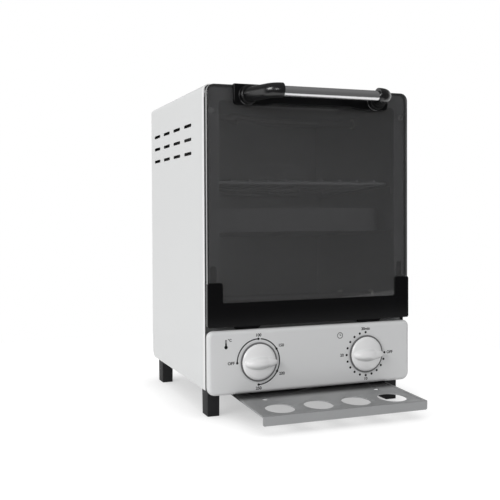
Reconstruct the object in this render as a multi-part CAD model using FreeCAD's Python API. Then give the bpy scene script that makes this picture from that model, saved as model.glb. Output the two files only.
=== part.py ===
import FreeCAD, Part
import math
import os

# Dry heat sterilizer: a bench-top hot-air cabinet with a glass door hinged at its lower edge.
# Millimetres. +X is right as seen from the front, +Y is backwards, +Z is up.
# The origin is on the bench, under the centre of the cabinet's body.

# Cabinet body
cabinet_width = 225.0
cabinet_depth = 190.0
cabinet_height = 325.0
foot_height = 26.4
sheet = 1.0
bend_radius = 5.5
rear_corner_radius = 10.0
bottom_flange_width = 12.0
rear_flange_width = 8.0
seat_clearance = 0.3
overrun = 2.0
slot_end_land = 0.01

# Vent slots in the cabinet's sides
vent_length = 24.0
vent_height = 3.4
vent_pitch_z = 14.4
vent_columns = 4
vent_rows = 3
vent_front_inset = 50.0
vent_rear_inset = 26.0
vent_top_inset = 35.6

# Rear cover, base plate and cord gland
rear_vent_length = 60.0
rear_vent_height = 3.4
rear_vent_pitch = 11.0
rear_vent_rows = 6
rear_vent_top_inset = 36.0
rear_vent_column_gap = 24.0
base_vent_length = 60.0
base_vent_width = 4.0
base_vent_pitch = 16.0
base_vent_count = 7
base_vent_rear_inset = 15.0
gland_side_inset = 50.5
gland_rise = 29.6
gland_radius = 7.0
gland_bore_radius = 3.6
gland_flange_radius = 10.5
gland_flange_thickness = 2.0
gland_inner_length = 14.0

# Screws
screw_radius = 1.5
screw_head_radius = 3.2
screw_head_height = 1.6
screw_bite = 6.0
rear_screw_inset = 5.2
rear_screw_rise = 35.6
rear_screw_top_inset = 23.0
rear_screw_rows = 3

# Feet
foot_width = 12.6
foot_depth = 16.5
foot_taper = 0.4
foot_side_inset = 2.6
foot_right_shift = 5.6
front_foot_inset = 0.4
rear_foot_inset = 16.2
foot_bore_radius = 3.4
foot_bore_depth = 12.0
foot_screw_radius = 1.75
foot_screw_head_radius = 3.1
foot_screw_head_height = 2.0
foot_screw_reach = 3.5

# Front frame: the sheet behind the door, stepped back behind the control panel
frame_proud = 2.4
frame_side_margin = 1.7
frame_rise = 7.5
frame_corner_radius = 5.0
frame_return_depth = 20.0
frame_return_gap = 4.0
opening_side_margin = 14.3
opening_top_margin = 16.2
opening_sill = 11.0
opening_corner_radius = 4.0
arm_slot_width = 7.0
arm_slot_low_rise = 19.5
arm_slot_high_rise = 55.5
rail_setback = 3.0
shaft_hole_clearance = 2.2
frame_screw_side_inset = 6.5
frame_screw_top_inset = 26.3
frame_screw_head_height = 0.9

# Control panel: the moulded front below the door
panel_side_overhang = 0.8
panel_height = 63.2
panel_drop = 4.4
panel_depth = 10.0
panel_wall = 2.2
panel_seam_width = 4.4
panel_seam_inset = 2.4
panel_edge_radius = 4.0
panel_top_corner_radius = 6.0
panel_bottom_corner_radius = 8.5
panel_boss_radius = 3.6
panel_boss_side_inset = 12.0
panel_boss_edge_inset = 11.0
panel_screw_bite = 7.0
knob_side_inset = 52.2
knob_rise = 31.0

# Oven chamber
liner_sheet = 0.8
chamber_side_gap = 12.5
chamber_roof_gap = 14.4
chamber_floor_drop = 4.0
chamber_rear_gap = 19.0
liner_flange_width = 10.0
emboss_inset = 24.0
emboss_depth = 3.0
runner_drop = 8.0
pan_ledge_overlap = 5.0
runner_front_inset = 6.0
runner_rear_inset = 5.0

# Heating rods and their ceramic bushes
heater_radius = 3.25
heater_end_reach = 7.2
heater_roof_gap = 7.0
heater_roof_place = 81.4
heater_floor_gap = 10.5
heater_end_gap = 52.2
bush_radius = 5.5
bush_flange_radius = 7.2
bush_flange_thickness = 1.8
bush_inner_lip = 2.0
bush_outer_length = 4.4
terminal_pin_radius = 1.4
terminal_pin_length = 2.4

# Thermostat, timer and terminal block
thermostat_width = 30.0
thermostat_height = 34.0
thermostat_depth = 20.0
bimetal_length = 24.0
bimetal_thickness = 1.2
bimetal_width = 8.0
timer_radius = 20.0
timer_depth = 26.0
bell_radius = 15.0
bell_height = 9.0
bell_wall = 1.2
bell_post_radius = 2.0
bell_gap = 2.0
shaft_radius = 3.0
shaft_flat = 0.8
shaft_grip = 8.0
shaft_clearance = 0.05
terminal_block_width = 44.0
terminal_block_depth = 16.0
terminal_block_height = 13.0
terminal_block_rear_inset = 33.0
terminal_ways = 4
terminal_screw_radius = 2.0
terminal_screw_height = 1.0

# Knobs
knob_radius = 18.0
knob_ring_overhang = 1.3
knob_ring_thickness = 0.7
knob_hub_radius = 10.0
knob_skirt_height = 1.6
knob_skirt_draft = 0.4
knob_gap = 0.9
knob_dome_height = 3.0
knob_grip_width = 12.0
knob_grip_rise = 6.6
knob_grip_tip = 19.0
knob_grip_tail = 16.8
knob_grip_edge_radius = 1.6
knob_socket_depth = 6.0

# Door glass and the moulded bracket along its lower edge
door_side_margin = 0.2
door_top_margin = 1.0
door_corner_radius = 8.0
glass_thickness = 4.0
glass_rise = 8.5
glass_gap = 2.0
bracket_side_skin = 0.4
bracket_front_skin = 1.0
bracket_back_skin = 0.7
bracket_gap = 3.3
bracket_band_height = 23.2
bracket_arm_height = 43.1
bracket_arm_width = 15.6
bracket_corner_radius = 2.0
tab_clearance = 0.7
tab_front_inset = 1.4
tab_back_inset = 0.9
tab_side_inset = 28.8
tab_length = 30.6
tab_slope = 6.5
seal_width = 2.2
seal_thickness = 1.5
seal_edge_inset = 0.3
seal_skirt_thickness = 0.5
seal_skirt_gap = 0.4

# Door hinge
hinge_inset = 2.1
hinge_rise = 4.0
hinge_pin_radius = 1.0
hinge_pin_length = 12.0
hinge_pin_clearance = 0.06
hinge_ear_radius = 1.9
hinge_side_inset = 22.5
hinge_ear_thickness = 4.0
hinge_foot_height = 9.0
hinge_foot_width = 13.0

# Door arms and their springs
arm_side_inset = 8.2
arm_thickness = 2.0
arm_inner_radius = 28.0
arm_outer_radius = 37.0
arm_tail_angle = 6.0
arm_foot_width = 10.0
arm_foot_height = 17.0
arm_foot_top_inset = 0.6
spring_radius = 3.2
spring_lug_height = 9.0
spring_lug_width = 6.0

# Door handle
handle_side_inset = 26.6
handle_plate_rise = 0.7
handle_plate_height = 20.2
handle_plate_thickness = 3.8
handle_plate_corner_radius = 4.0
handle_waist_rise = 2.2
handle_waist_start = 30.0
handle_waist_run = 16.0
handle_post_inset = 14.6
handle_axis_drop = 10.9
handle_stand_off = 39.4
handle_boss_radius = 9.2
handle_boss_height = 6.3
handle_elbow_radius = 7.1
handle_elbow_bend = 12.0
handle_elbow_straight = 6.0
handle_elbow_lean = 8.6
handle_tube_radius = 5.1
handle_tube_wall = 1.0
handle_tube_end_inset = 19.8
handle_tube_insert = 2.5
handle_screw_head_radius = 4.5
handle_screw_head_height = 1.2
handle_screw_radius = 2.0
handle_screw_bite = 7.0

# Bottom tray and its runners, which slope down to the front
tray_side_inset = 26.7
tray_length = 112.0
tray_sheet = 1.0
tray_lip_height = 8.4
tray_drop = 8.4
tray_pull = 68.4
tray_slope = 2.4
tray_hole_count = 4
tray_hole_land = 12.0
tray_hole_side_gap = 11.8
tray_hole_inset = 20.6
tray_small_hole_radius = 2.9
tray_small_hole_side_inset = 24.3
tray_small_hole_inset = 50.7
tray_hem_width = 3.4
tray_hem_rise = 0.5
runner_grip = 4.5
runner_foot = 9.0
runner_tray_overlap = 2.0
runner_setback = 6.0

# Wire rack and instrument pan
rack_rise = 127.2
rack_side_gap = 1.4
rack_front_inset = 9.4
rack_rear_gap = 10.0
rack_rail_radius = 2.0
rack_wire_radius = 1.3
rack_wire_count = 9
rack_wire_end_gap = 15.6
rack_weld = 0.6
rack_corner_radius = 7.0
pan_side_gap = 4.0
pan_rim_gap = 2.4
pan_front_inset = 27.4
pan_rear_gap = 16.0
pan_rise = 79.0
pan_height = 24.0
pan_corner_radius = 7.0

# Places that follow from the sizes above
half_width = cabinet_width / 2
half_depth = cabinet_depth / 2
front_y = -half_depth
rear_y = half_depth
inner_half_width = half_width - sheet
inner_top = cabinet_height - sheet
base_z = foot_height + sheet
base_top_z = base_z + sheet
vent_pitch_y = (cabinet_depth - vent_front_inset - vent_rear_inset) / (vent_columns - 1)
gland_x = gland_side_inset - half_width
gland_z = foot_height + gland_rise
panel_bottom = foot_height - panel_drop
panel_top = panel_bottom + panel_height
panel_half_width = half_width + panel_side_overhang
panel_back_y = front_y - seat_clearance
panel_front_y = panel_back_y - panel_depth
knob_x = half_width - knob_side_inset
knob_z = panel_bottom + knob_rise
knob_back_y = panel_front_y - knob_gap
shaft_hole_radius = shaft_radius + shaft_hole_clearance
bracket_bottom = panel_top + bracket_gap
bracket_band_top = bracket_bottom + bracket_band_height
bracket_arm_top = bracket_bottom + bracket_arm_height
tab_bottom = panel_top + tab_clearance
hinge_z = bracket_bottom + hinge_rise
glass_bottom = bracket_bottom + glass_rise
frame_bottom = bracket_bottom + frame_rise
frame_front_y = front_y - frame_proud
frame_back_y = frame_front_y + sheet
frame_half_width = half_width - frame_side_margin
frame_top = inner_top - seat_clearance
opening_half_width = half_width - opening_side_margin
opening_top = cabinet_height - opening_top_margin
opening_bottom = frame_bottom + opening_sill
arm_x = half_width - arm_side_inset
arm_slot_bottom = hinge_z + arm_slot_low_rise
arm_slot_top = hinge_z + arm_slot_high_rise
arm_foot_top = bracket_arm_top - arm_foot_top_inset
frame_return_bottom = arm_slot_top + frame_return_gap
frame_screw_x = half_width - frame_screw_side_inset
frame_screw_z = cabinet_height - frame_screw_top_inset
rail_front_y = front_y + rail_setback
rail_back_y = rail_front_y + sheet
rail_half_width = inner_half_width - seat_clearance
glass_back_y = frame_front_y - glass_gap
glass_front_y = glass_back_y - glass_thickness
bracket_front_y = glass_front_y - bracket_front_skin
bracket_back_y = glass_back_y + bracket_back_skin
door_half_width = half_width - door_side_margin
door_top = cabinet_height - door_top_margin
bracket_half_width = door_half_width + bracket_side_skin
hinge_y = glass_front_y + hinge_inset
hinge_ear_x = half_width - hinge_side_inset
handle_plate_y = glass_front_y - handle_plate_thickness
handle_plate_top = door_top + handle_plate_rise
handle_plate_bottom = handle_plate_top - handle_plate_height
handle_half_width = door_half_width - handle_side_inset
handle_post_x = handle_half_width - handle_post_inset
handle_tube_end_x = handle_post_x - handle_tube_end_inset
handle_tube_y = glass_front_y - handle_stand_off
handle_z = handle_plate_top - handle_axis_drop
chamber_half_width = inner_half_width - chamber_side_gap
chamber_roof_z = inner_top - chamber_roof_gap
chamber_floor_z = opening_bottom - chamber_floor_drop
chamber_rear_y = rear_y - chamber_rear_gap
liner_half_width = chamber_half_width + liner_sheet
heater_half_length = liner_half_width + heater_end_reach
terminal_block_y = rear_y - terminal_block_rear_inset
tray_front_y = panel_front_y - tray_pull
tray_half_width = half_width - tray_side_inset
tray_lip_top = foot_height - tray_drop
tray_hole_lands = (tray_hole_count - 1) * tray_hole_land + 2 * tray_hole_side_gap
tray_hole_radius = (tray_half_width - tray_hole_lands / 2) / tray_hole_count
tray_hole_pitch = 2 * tray_hole_radius + tray_hole_land
runner_length = tray_length - runner_tray_overlap
foot_centre_x = half_width - foot_side_inset - foot_width / 2
front_foot_y = front_y + front_foot_inset + foot_depth / 2
rear_foot_y = rear_y - rear_foot_inset - foot_depth / 2
arm_middle_radius = (arm_inner_radius + arm_outer_radius) / 2
spring_y = hinge_y + arm_middle_radius
spring_bottom = base_top_z + spring_lug_height
spring_top = hinge_z - arm_outer_radius * math.sin(math.radians(arm_tail_angle)) - seat_clearance
rack_z = chamber_floor_z + rack_rise
rack_ledge_z = rack_z - rack_rail_radius - seat_clearance
rack_ledge_width = rack_side_gap + 2 * rack_rail_radius
rack_half_width = chamber_half_width - rack_side_gap - rack_rail_radius
rack_wire_pitch = 2 * (rack_half_width - rack_wire_end_gap) / (rack_wire_count - 1)
pan_bottom = chamber_floor_z + pan_rise
pan_top = pan_bottom + pan_height
pan_half_width = chamber_half_width - pan_side_gap
pan_rim_half_width = chamber_half_width - pan_rim_gap
pan_ledge_z = pan_bottom - seat_clearance
pan_ledge_width = pan_side_gap + pan_ledge_overlap
low_heater_z = chamber_floor_z + heater_floor_gap
heaters = {
    "upper_heater": (frame_back_y + heater_roof_place, chamber_roof_z - heater_roof_gap),
    "lower_heater_front": (frame_back_y + heater_end_gap, low_heater_z),
    "lower_heater_rear": (chamber_rear_y - heater_end_gap, low_heater_z),
}
sides = {"left": -1, "right": 1}
feet = {
    "front_left": (-foot_centre_x, front_foot_y),
    "front_right": (foot_centre_x - foot_right_shift, front_foot_y),
    "rear_left": (-foot_centre_x, rear_foot_y),
    "rear_right": (foot_centre_x - foot_right_shift, rear_foot_y),
}


def at(x, y, z):
    return FreeCAD.Vector(x, y, z)


def block(x, y, z):
    # A box whose limits on each axis come in either order.
    low = at(min(x), min(y), min(z))
    return Part.makeBox(abs(x[1] - x[0]), abs(y[1] - y[0]), abs(z[1] - z[0]), low)


def rod(radius, start, end):
    run = end - start
    return Part.makeCylinder(radius, run.Length, start, run)


def outline(corners, place):
    # A closed wire through (u, v, radius) corners; place puts (u, v) into space.
    stretches = []
    for i, (u, v, radius) in enumerate(corners):
        here = at(u, v, 0)
        if radius <= 0:
            stretches.append((here, None, here))
            continue
        after = corners[(i + 1) % len(corners)]
        back = (at(corners[i - 1][0], corners[i - 1][1], 0) - here).normalize()
        onward = (at(after[0], after[1], 0) - here).normalize()
        half_angle = back.getAngle(onward) / 2
        middle = (back + onward).normalize()
        run = radius / math.tan(half_angle)
        crown = here + middle * (radius / math.sin(half_angle) - radius)
        stretches.append((here + back * run, crown, here + onward * run))
    edges = []
    for i, (start, crown, end) in enumerate(stretches):
        following = stretches[(i + 1) % len(stretches)][0]
        if crown is not None:
            points = [place(p.x, p.y) for p in (start, crown, end)]
            edges.append(Part.Arc(*points).toShape())
        if (following - end).Length > 0:
            edges.append(Part.makeLine(place(end.x, end.y), place(following.x, following.y)))
    return Part.Wire(edges)


def plate_facing_y(corners, y):
    # A plate drawn in X and Z that fills Y from y[0] to y[1].
    wire = outline(corners, lambda u, v: at(u, y[0], v))
    return Part.Face(wire).extrude(at(0, y[1] - y[0], 0))


def plate_facing_x(corners, x):
    wire = outline(corners, lambda u, v: at(x[0], u, v))
    return Part.Face(wire).extrude(at(x[1] - x[0], 0, 0))


def plate_facing_z(corners, z):
    wire = outline(corners, lambda u, v: at(u, v, z[0]))
    return Part.Face(wire).extrude(at(0, 0, z[1] - z[0]))


def rectangle(u, v, radius=0):
    return [(u[0], v[0], radius), (u[1], v[0], radius), (u[1], v[1], radius), (u[0], v[1], radius)]


def slot(centre, length, height):
    # Corners of a slot with round ends, long in its first direction.
    u, v = centre
    end_radius = height / 2 - slot_end_land
    return rectangle((u - length / 2, u + length / 2), (v - height / 2, v + height / 2), end_radius)


def join(first, *others):
    return first.multiFuse(list(others)).removeSplitter() if others else first


def without(body, *tools):
    return body.cut(Part.makeCompound(list(tools))) if tools else body


def screw_along_y(x, z, seat_y, grip, head_height, direction):
    # A pan-head screw: the head stands off seat_y against direction, the shank goes along it.
    seat = at(x, seat_y, z)
    head = rod(screw_head_radius, seat, at(x, seat_y - direction * head_height, z))
    shank = rod(screw_radius, seat, at(x, seat_y + direction * grip, z))
    return join(head, shank)


def outer_wrapper():
    outside = [
        (-half_width, foot_height, 0),
        (half_width, foot_height, 0),
        (half_width, cabinet_height, bend_radius),
        (-half_width, cabinet_height, bend_radius),
    ]
    inside_radius = bend_radius - sheet
    inside = [
        (-inner_half_width, base_z, 0),
        (inner_half_width, base_z, 0),
        (inner_half_width, inner_top, inside_radius),
        (-inner_half_width, inner_top, inside_radius),
    ]
    body = plate_facing_y(outside, (front_y, rear_y))
    hollow = plate_facing_y(inside, (front_y - overrun, rear_y + overrun))
    window_half = half_width - bottom_flange_width
    window = block((-window_half, window_half), (front_y - overrun, rear_y + overrun), (0, base_z + overrun))
    shell = without(body, hollow, window)
    flange_y = (rear_y - 2 * sheet, rear_y - sheet)
    rear_ring = plate_facing_y(inside, flange_y)
    ring_half = inner_half_width - rear_flange_width
    ring_window = block(
        (-ring_half, ring_half),
        (flange_y[0] - overrun, flange_y[1] + overrun),
        (0, inner_top - rear_flange_width),
    )
    rear_ring = without(rear_ring, ring_window)
    shell = join(shell, rear_ring)
    corner_y = rear_y - rear_corner_radius
    corner_z = foot_height + rear_corner_radius
    corner = block(
        (-half_width - overrun, half_width + overrun),
        (corner_y, rear_y + overrun),
        (foot_height - overrun, corner_z),
    )
    round_part = rod(
        rear_corner_radius,
        at(-half_width - 2 * overrun, corner_y, corner_z),
        at(half_width + 2 * overrun, corner_y, corner_z),
    )
    shell = without(shell, without(corner, round_part))
    cuts = [block((-inner_half_width, inner_half_width), (corner_y, rear_y + overrun), (0, corner_z))]
    for side in sides.values():
        for row in range(vent_rows):
            for column in range(vent_columns):
                centre = (
                    front_y + vent_front_inset + column * vent_pitch_y,
                    cabinet_height - vent_top_inset - row * vent_pitch_z,
                )
                span = (side * (half_width + overrun), side * (inner_half_width - overrun))
                cuts.append(plate_facing_x(slot(centre, vent_length, vent_height), span))
        for y in rear_screw_places():
            cuts.append(rod(screw_radius, at(side * y[0], flange_y[0] - overrun, y[1]),
                            at(side * y[0], flange_y[1] + overrun, y[1])))
    for x, y in feet.values():
        cuts.append(rod(foot_screw_radius, at(x, y, 0), at(x, y, base_z + overrun)))
    return without(shell, *cuts)


def rear_screw_places():
    x = inner_half_width - rear_screw_inset
    low_z = foot_height + rear_screw_rise
    step = (cabinet_height - rear_screw_top_inset - low_z) / (rear_screw_rows - 1)
    return [(x, low_z + i * step) for i in range(rear_screw_rows)]


def rear_cover():
    half = inner_half_width - seat_clearance
    corner_y = rear_y - rear_corner_radius
    corner_z = foot_height + rear_corner_radius
    sheet_y = (rear_y - sheet, rear_y)
    top_z = inner_top - seat_clearance
    upright = plate_facing_y(
        [
            (-half, corner_z, 0),
            (half, corner_z, 0),
            (half, top_z, bend_radius - sheet),
            (-half, top_z, bend_radius - sheet),
        ],
        sheet_y,
    )
    bend_outer = rod(rear_corner_radius, at(-half, corner_y, corner_z), at(half, corner_y, corner_z))
    bend_inner = rod(rear_corner_radius - sheet, at(-half - overrun, corner_y, corner_z),
                     at(half + overrun, corner_y, corner_z))
    quarter = block((-half, half), (corner_y, rear_y), (foot_height, corner_z))
    bend = bend_outer.cut(bend_inner).common(quarter)
    cover = join(upright, bend)
    cuts = []
    for row in range(rear_vent_rows):
        z = cabinet_height - rear_vent_top_inset - row * rear_vent_pitch
        for side in sides.values():
            x = side * (rear_vent_column_gap + rear_vent_length) / 2
            corners = slot((x, z), rear_vent_length, rear_vent_height)
            cuts.append(plate_facing_y(corners, (sheet_y[0] - overrun, sheet_y[1] + overrun)))
    cuts.append(rod(gland_radius, at(gland_x, sheet_y[0] - overrun, gland_z),
                    at(gland_x, sheet_y[1] + overrun, gland_z)))
    for side in sides.values():
        for x, z in rear_screw_places():
            cuts.append(rod(screw_radius, at(side * x, sheet_y[0] - overrun, z),
                            at(side * x, sheet_y[1] + overrun, z)))
    return without(cover, *cuts)


def rear_screws():
    screws = []
    for side in sides.values():
        for x, z in rear_screw_places():
            screws.append(screw_along_y(side * x, z, rear_y, screw_bite, screw_head_height, -1))
    return screws


def cord_gland():
    axis = [at(gland_x, y, gland_z) for y in (
        rear_y - gland_inner_length, rear_y, rear_y + gland_flange_thickness)]
    body = rod(gland_radius, axis[0], axis[1])
    flange = rod(gland_flange_radius, axis[1], axis[2])
    beyond = at(0, overrun, 0)
    bore = rod(gland_bore_radius, axis[0] - beyond, axis[2] + beyond)
    return without(join(body, flange), bore)


def base_plate():
    half = inner_half_width - seat_clearance
    plate = block((-half, half), (rail_front_y, rear_y - rear_corner_radius), (base_z, base_top_z))
    cuts = []
    for i in range(base_vent_count):
        x = (i - (base_vent_count - 1) / 2) * base_vent_pitch
        y = rear_y - base_vent_rear_inset - base_vent_length / 2
        corners = slot((y, x), base_vent_length, base_vent_width)
        turned = [(v, u, radius) for u, v, radius in corners]
        cuts.append(plate_facing_z(turned, (base_z - overrun, base_top_z + overrun)))
    for x, y in feet.values():
        cuts.append(rod(foot_screw_radius, at(x, y, 0), at(x, y, base_top_z + overrun)))
    return without(plate, *cuts)


def foot(place):
    x, y = place
    half_x = foot_width / 2
    half_y = foot_depth / 2
    top = Part.makePolygon([
        at(x - half_x, y - half_y, foot_height),
        at(x + half_x, y - half_y, foot_height),
        at(x + half_x, y + half_y, foot_height),
        at(x - half_x, y + half_y, foot_height),
        at(x - half_x, y - half_y, foot_height),
    ])
    small_x = half_x - foot_taper / 2
    small_y = half_y - foot_taper / 2
    bottom = Part.makePolygon([
        at(x - small_x, y - small_y, 0),
        at(x + small_x, y - small_y, 0),
        at(x + small_x, y + small_y, 0),
        at(x - small_x, y + small_y, 0),
        at(x - small_x, y - small_y, 0),
    ])
    body = Part.makeLoft([bottom, top], True, True)
    recess = rod(foot_bore_radius, at(x, y, -overrun), at(x, y, foot_bore_depth))
    hole = rod(foot_screw_radius, at(x, y, 0), at(x, y, foot_height + overrun))
    return without(body, recess, hole)


def foot_screws():
    screws = []
    for x, y in feet.values():
        seat = at(x, y, foot_bore_depth)
        head = rod(foot_screw_head_radius, seat, at(x, y, foot_bore_depth - foot_screw_head_height))
        shank = rod(foot_screw_radius, seat, at(x, y, base_top_z + foot_screw_reach))
        screws.append(join(head, shank))
    return screws


def front_frame():
    face = plate_facing_y(
        [
            (-frame_half_width, frame_bottom, 0),
            (frame_half_width, frame_bottom, 0),
            (frame_half_width, frame_top, frame_corner_radius),
            (-frame_half_width, frame_top, frame_corner_radius),
        ],
        (frame_front_y, frame_back_y),
    )
    return_y = (frame_back_y, frame_back_y + frame_return_depth)
    returns = []
    for side in sides.values():
        returns.append(block(
            (side * rail_half_width, side * (rail_half_width - sheet)),
            return_y,
            (frame_return_bottom, frame_top - frame_corner_radius),
        ))
    top_half = frame_half_width - frame_corner_radius
    returns.append(block((-top_half, top_half), return_y, (frame_top - sheet, frame_top)))
    rail_x = (-rail_half_width, rail_half_width)
    step = block(rail_x, (frame_front_y, rail_back_y), (frame_bottom, frame_bottom + sheet))
    rail = block(rail_x, (rail_front_y, rail_back_y), (base_top_z, frame_bottom + sheet))
    body = join(face, step, rail, *returns)
    through = (frame_front_y - overrun, rail_back_y + overrun)
    cuts = [plate_facing_y(
        rectangle((-opening_half_width, opening_half_width), (opening_bottom, opening_top),
                  opening_corner_radius),
        (frame_front_y - overrun, frame_back_y + overrun),
    )]
    slot_radius = arm_slot_width / 2 - seat_clearance
    for side in sides.values():
        centre = side * arm_x
        edge = sorted((centre - arm_slot_width / 2, centre + arm_slot_width / 2))
        cuts.append(plate_facing_y(
            [
                (edge[0], arm_slot_bottom, 0),
                (edge[1], arm_slot_bottom, 0),
                (edge[1], arm_slot_top, slot_radius),
                (edge[0], arm_slot_top, slot_radius),
            ],
            (frame_front_y - overrun, frame_back_y + overrun),
        ))
        cuts.append(rod(shaft_hole_radius, at(side * knob_x, through[0], knob_z),
                        at(side * knob_x, through[1], knob_z)))
        cuts.append(rod(screw_radius, at(side * frame_screw_x, through[0], frame_screw_z),
                        at(side * frame_screw_x, frame_back_y + overrun, frame_screw_z)))
    for x, z in panel_screw_places():
        cuts.append(rod(screw_radius, at(x, rail_front_y - overrun, z), at(x, rail_back_y + overrun, z)))
    return without(body, *cuts)


def frame_screws():
    return [
        screw_along_y(side * frame_screw_x, frame_screw_z, frame_front_y, screw_bite,
                      frame_screw_head_height, 1)
        for side in sides.values()
    ]


def panel_screw_places():
    x = panel_half_width - panel_boss_side_inset
    low_z = panel_bottom + panel_boss_edge_inset
    high_z = panel_top - panel_boss_edge_inset
    return [(-x, low_z), (x, low_z), (-x, high_z), (x, high_z)]


def panel_outline(inset):
    half = panel_half_width - inset
    top_radius = panel_top_corner_radius - inset
    bottom_radius = panel_bottom_corner_radius - inset
    return [
        (-half, panel_bottom + inset, bottom_radius),
        (half, panel_bottom + inset, bottom_radius),
        (half, panel_top - inset, top_radius),
        (-half, panel_top - inset, top_radius),
    ]


def control_panel():
    body = plate_facing_y(panel_outline(0), (panel_front_y, panel_back_y))
    front_edges = [
        edge for edge in body.Edges
        if abs(edge.BoundBox.YMax - panel_front_y) < seat_clearance / 2
    ]
    body = body.makeFillet(panel_edge_radius, front_edges)
    hollow_front = panel_front_y + panel_wall
    hollow = plate_facing_y(panel_outline(panel_wall), (hollow_front, panel_back_y + overrun))
    seam_y = (panel_back_y - panel_seam_width, panel_back_y + overrun)
    seam = plate_facing_y(panel_outline(-overrun), seam_y)
    tongue = plate_facing_y(panel_outline(panel_seam_inset), (seam_y[0] - overrun, seam_y[1] + overrun))
    shell = without(body, hollow, seam.cut(tongue))
    bosses = [
        rod(panel_boss_radius, at(x, hollow_front - panel_wall / 2, z), at(x, rail_front_y, z))
        for x, z in panel_screw_places()
    ]
    shell = join(shell, *bosses)
    cuts = []
    for side in sides.values():
        cuts.append(rod(shaft_hole_radius, at(side * knob_x, panel_front_y - overrun, knob_z),
                        at(side * knob_x, panel_back_y + overrun, knob_z)))
    for x, z in panel_screw_places():
        cuts.append(rod(screw_radius, at(x, rail_back_y - panel_screw_bite, z),
                        at(x, rail_front_y + overrun, z)))
    return without(shell, *cuts)


def panel_screws():
    return [
        screw_along_y(x, z, rail_back_y, panel_screw_bite, screw_head_height, -1)
        for x, z in panel_screw_places()
    ]


def chamber_wall(side):
    y = (frame_back_y, chamber_rear_y)
    z = (chamber_floor_z - liner_sheet, chamber_roof_z + liner_sheet)
    wall = block((side * chamber_half_width, side * liner_half_width), y, z)
    flange = block(
        (side * chamber_half_width, side * (chamber_half_width + liner_flange_width)),
        (frame_back_y, frame_back_y + liner_sheet),
        (frame_return_bottom, z[1]),
    )
    cuts = [rod(screw_radius, at(side * frame_screw_x, frame_back_y - overrun, frame_screw_z),
                at(side * frame_screw_x, frame_back_y + overrun, frame_screw_z))]
    for rod_y, rod_z in heaters.values():
        cuts.append(rod(bush_radius, at(side * (chamber_half_width - overrun), rod_y, rod_z),
                        at(side * (liner_half_width + overrun), rod_y, rod_z)))
    return without(join(wall, flange), *cuts)


def chamber_roof():
    return block((-chamber_half_width, chamber_half_width), (frame_back_y, chamber_rear_y),
                 (chamber_roof_z, chamber_roof_z + liner_sheet))


def chamber_floor():
    return block((-chamber_half_width, chamber_half_width), (frame_back_y, chamber_rear_y),
                 (chamber_floor_z - liner_sheet, chamber_floor_z))


def chamber_back():
    plate_z = (chamber_floor_z - liner_sheet, chamber_roof_z + liner_sheet)
    plate = block((-liner_half_width, liner_half_width),
                  (chamber_rear_y, chamber_rear_y + liner_sheet), plate_z)
    raised_half = chamber_half_width - emboss_inset
    raised_z = (chamber_floor_z + emboss_inset, chamber_roof_z - emboss_inset)
    raised = block((-raised_half, raised_half),
                   (chamber_rear_y - emboss_depth, chamber_rear_y + liner_sheet), raised_z)
    hollow = block(
        (-raised_half + liner_sheet, raised_half - liner_sheet),
        (chamber_rear_y - emboss_depth + liner_sheet, chamber_rear_y + liner_sheet + overrun),
        (raised_z[0] + liner_sheet, raised_z[1] - liner_sheet),
    )
    return without(join(plate, raised), hollow)


def shelf_runner(side):
    # Two stamped ledges on the chamber's side wall, one for the rack and one for the pan.
    y = (frame_back_y + runner_front_inset, chamber_rear_y - runner_rear_inset)
    wall_x = side * chamber_half_width
    ledges = []
    for top_z, width in ((rack_ledge_z, rack_ledge_width), (pan_ledge_z, pan_ledge_width)):
        ledge = block((wall_x, side * (chamber_half_width - width)), y, (top_z - sheet, top_z))
        leg = block((wall_x, side * (chamber_half_width - sheet)), y, (top_z - runner_drop, top_z))
        ledges.append(join(ledge, leg))
    return ledges


def heating_rod(place):
    y, z = place
    half = heater_half_length
    tube = rod(heater_radius, at(-half, y, z), at(half, y, z))
    pins = rod(terminal_pin_radius, at(-half - terminal_pin_length, y, z),
               at(half + terminal_pin_length, y, z))
    return join(tube, pins)


def heater_bushes():
    bushes = []
    for y, z in heaters.values():
        for side in sides.values():
            inner_x = side * (chamber_half_width - bush_inner_lip)
            outer_x = side * (liner_half_width + bush_outer_length)
            sleeve = rod(bush_radius, at(inner_x, y, z), at(outer_x, y, z))
            flange = rod(bush_flange_radius, at(side * liner_half_width, y, z),
                         at(side * (liner_half_width + bush_flange_thickness), y, z))
            bore = rod(heater_radius, at(inner_x - side * overrun, y, z),
                       at(outer_x + side * overrun, y, z))
            bushes.append(without(join(sleeve, flange), bore))
    return bushes


def control_shaft(side):
    front = knob_back_y - knob_socket_depth
    rear = rail_back_y + shaft_grip
    x = side * knob_x
    shaft = rod(shaft_radius, at(x, front, knob_z), at(x, rear, knob_z))
    flat = block(
        (x - shaft_radius - overrun, x + shaft_radius + overrun),
        (front - overrun, knob_back_y + overrun),
        (knob_z - shaft_radius - overrun, knob_z - shaft_radius + shaft_flat),
    )
    return without(shaft, flat)


def shaft_socket(side):
    # The running bore that the shaft turns in, cut into the thermostat or timer.
    radius = shaft_radius + shaft_clearance
    return rod(radius, at(side * knob_x, rail_back_y - overrun, knob_z),
               at(side * knob_x, rail_back_y + shaft_grip + seat_clearance, knob_z))


def thermostat_body():
    x = sides["left"] * knob_x
    half = thermostat_width / 2
    rear = rail_back_y + thermostat_depth
    body = block((x - half, x + half), (rail_back_y, rear),
                 (knob_z - thermostat_height / 2, knob_z + thermostat_height / 2))
    strip = block((x - bimetal_width / 2, x + bimetal_width / 2), (rear, rear + bimetal_thickness),
                  (knob_z, knob_z + bimetal_length))
    return without(join(body, strip), shaft_socket(sides["left"]))


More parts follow.
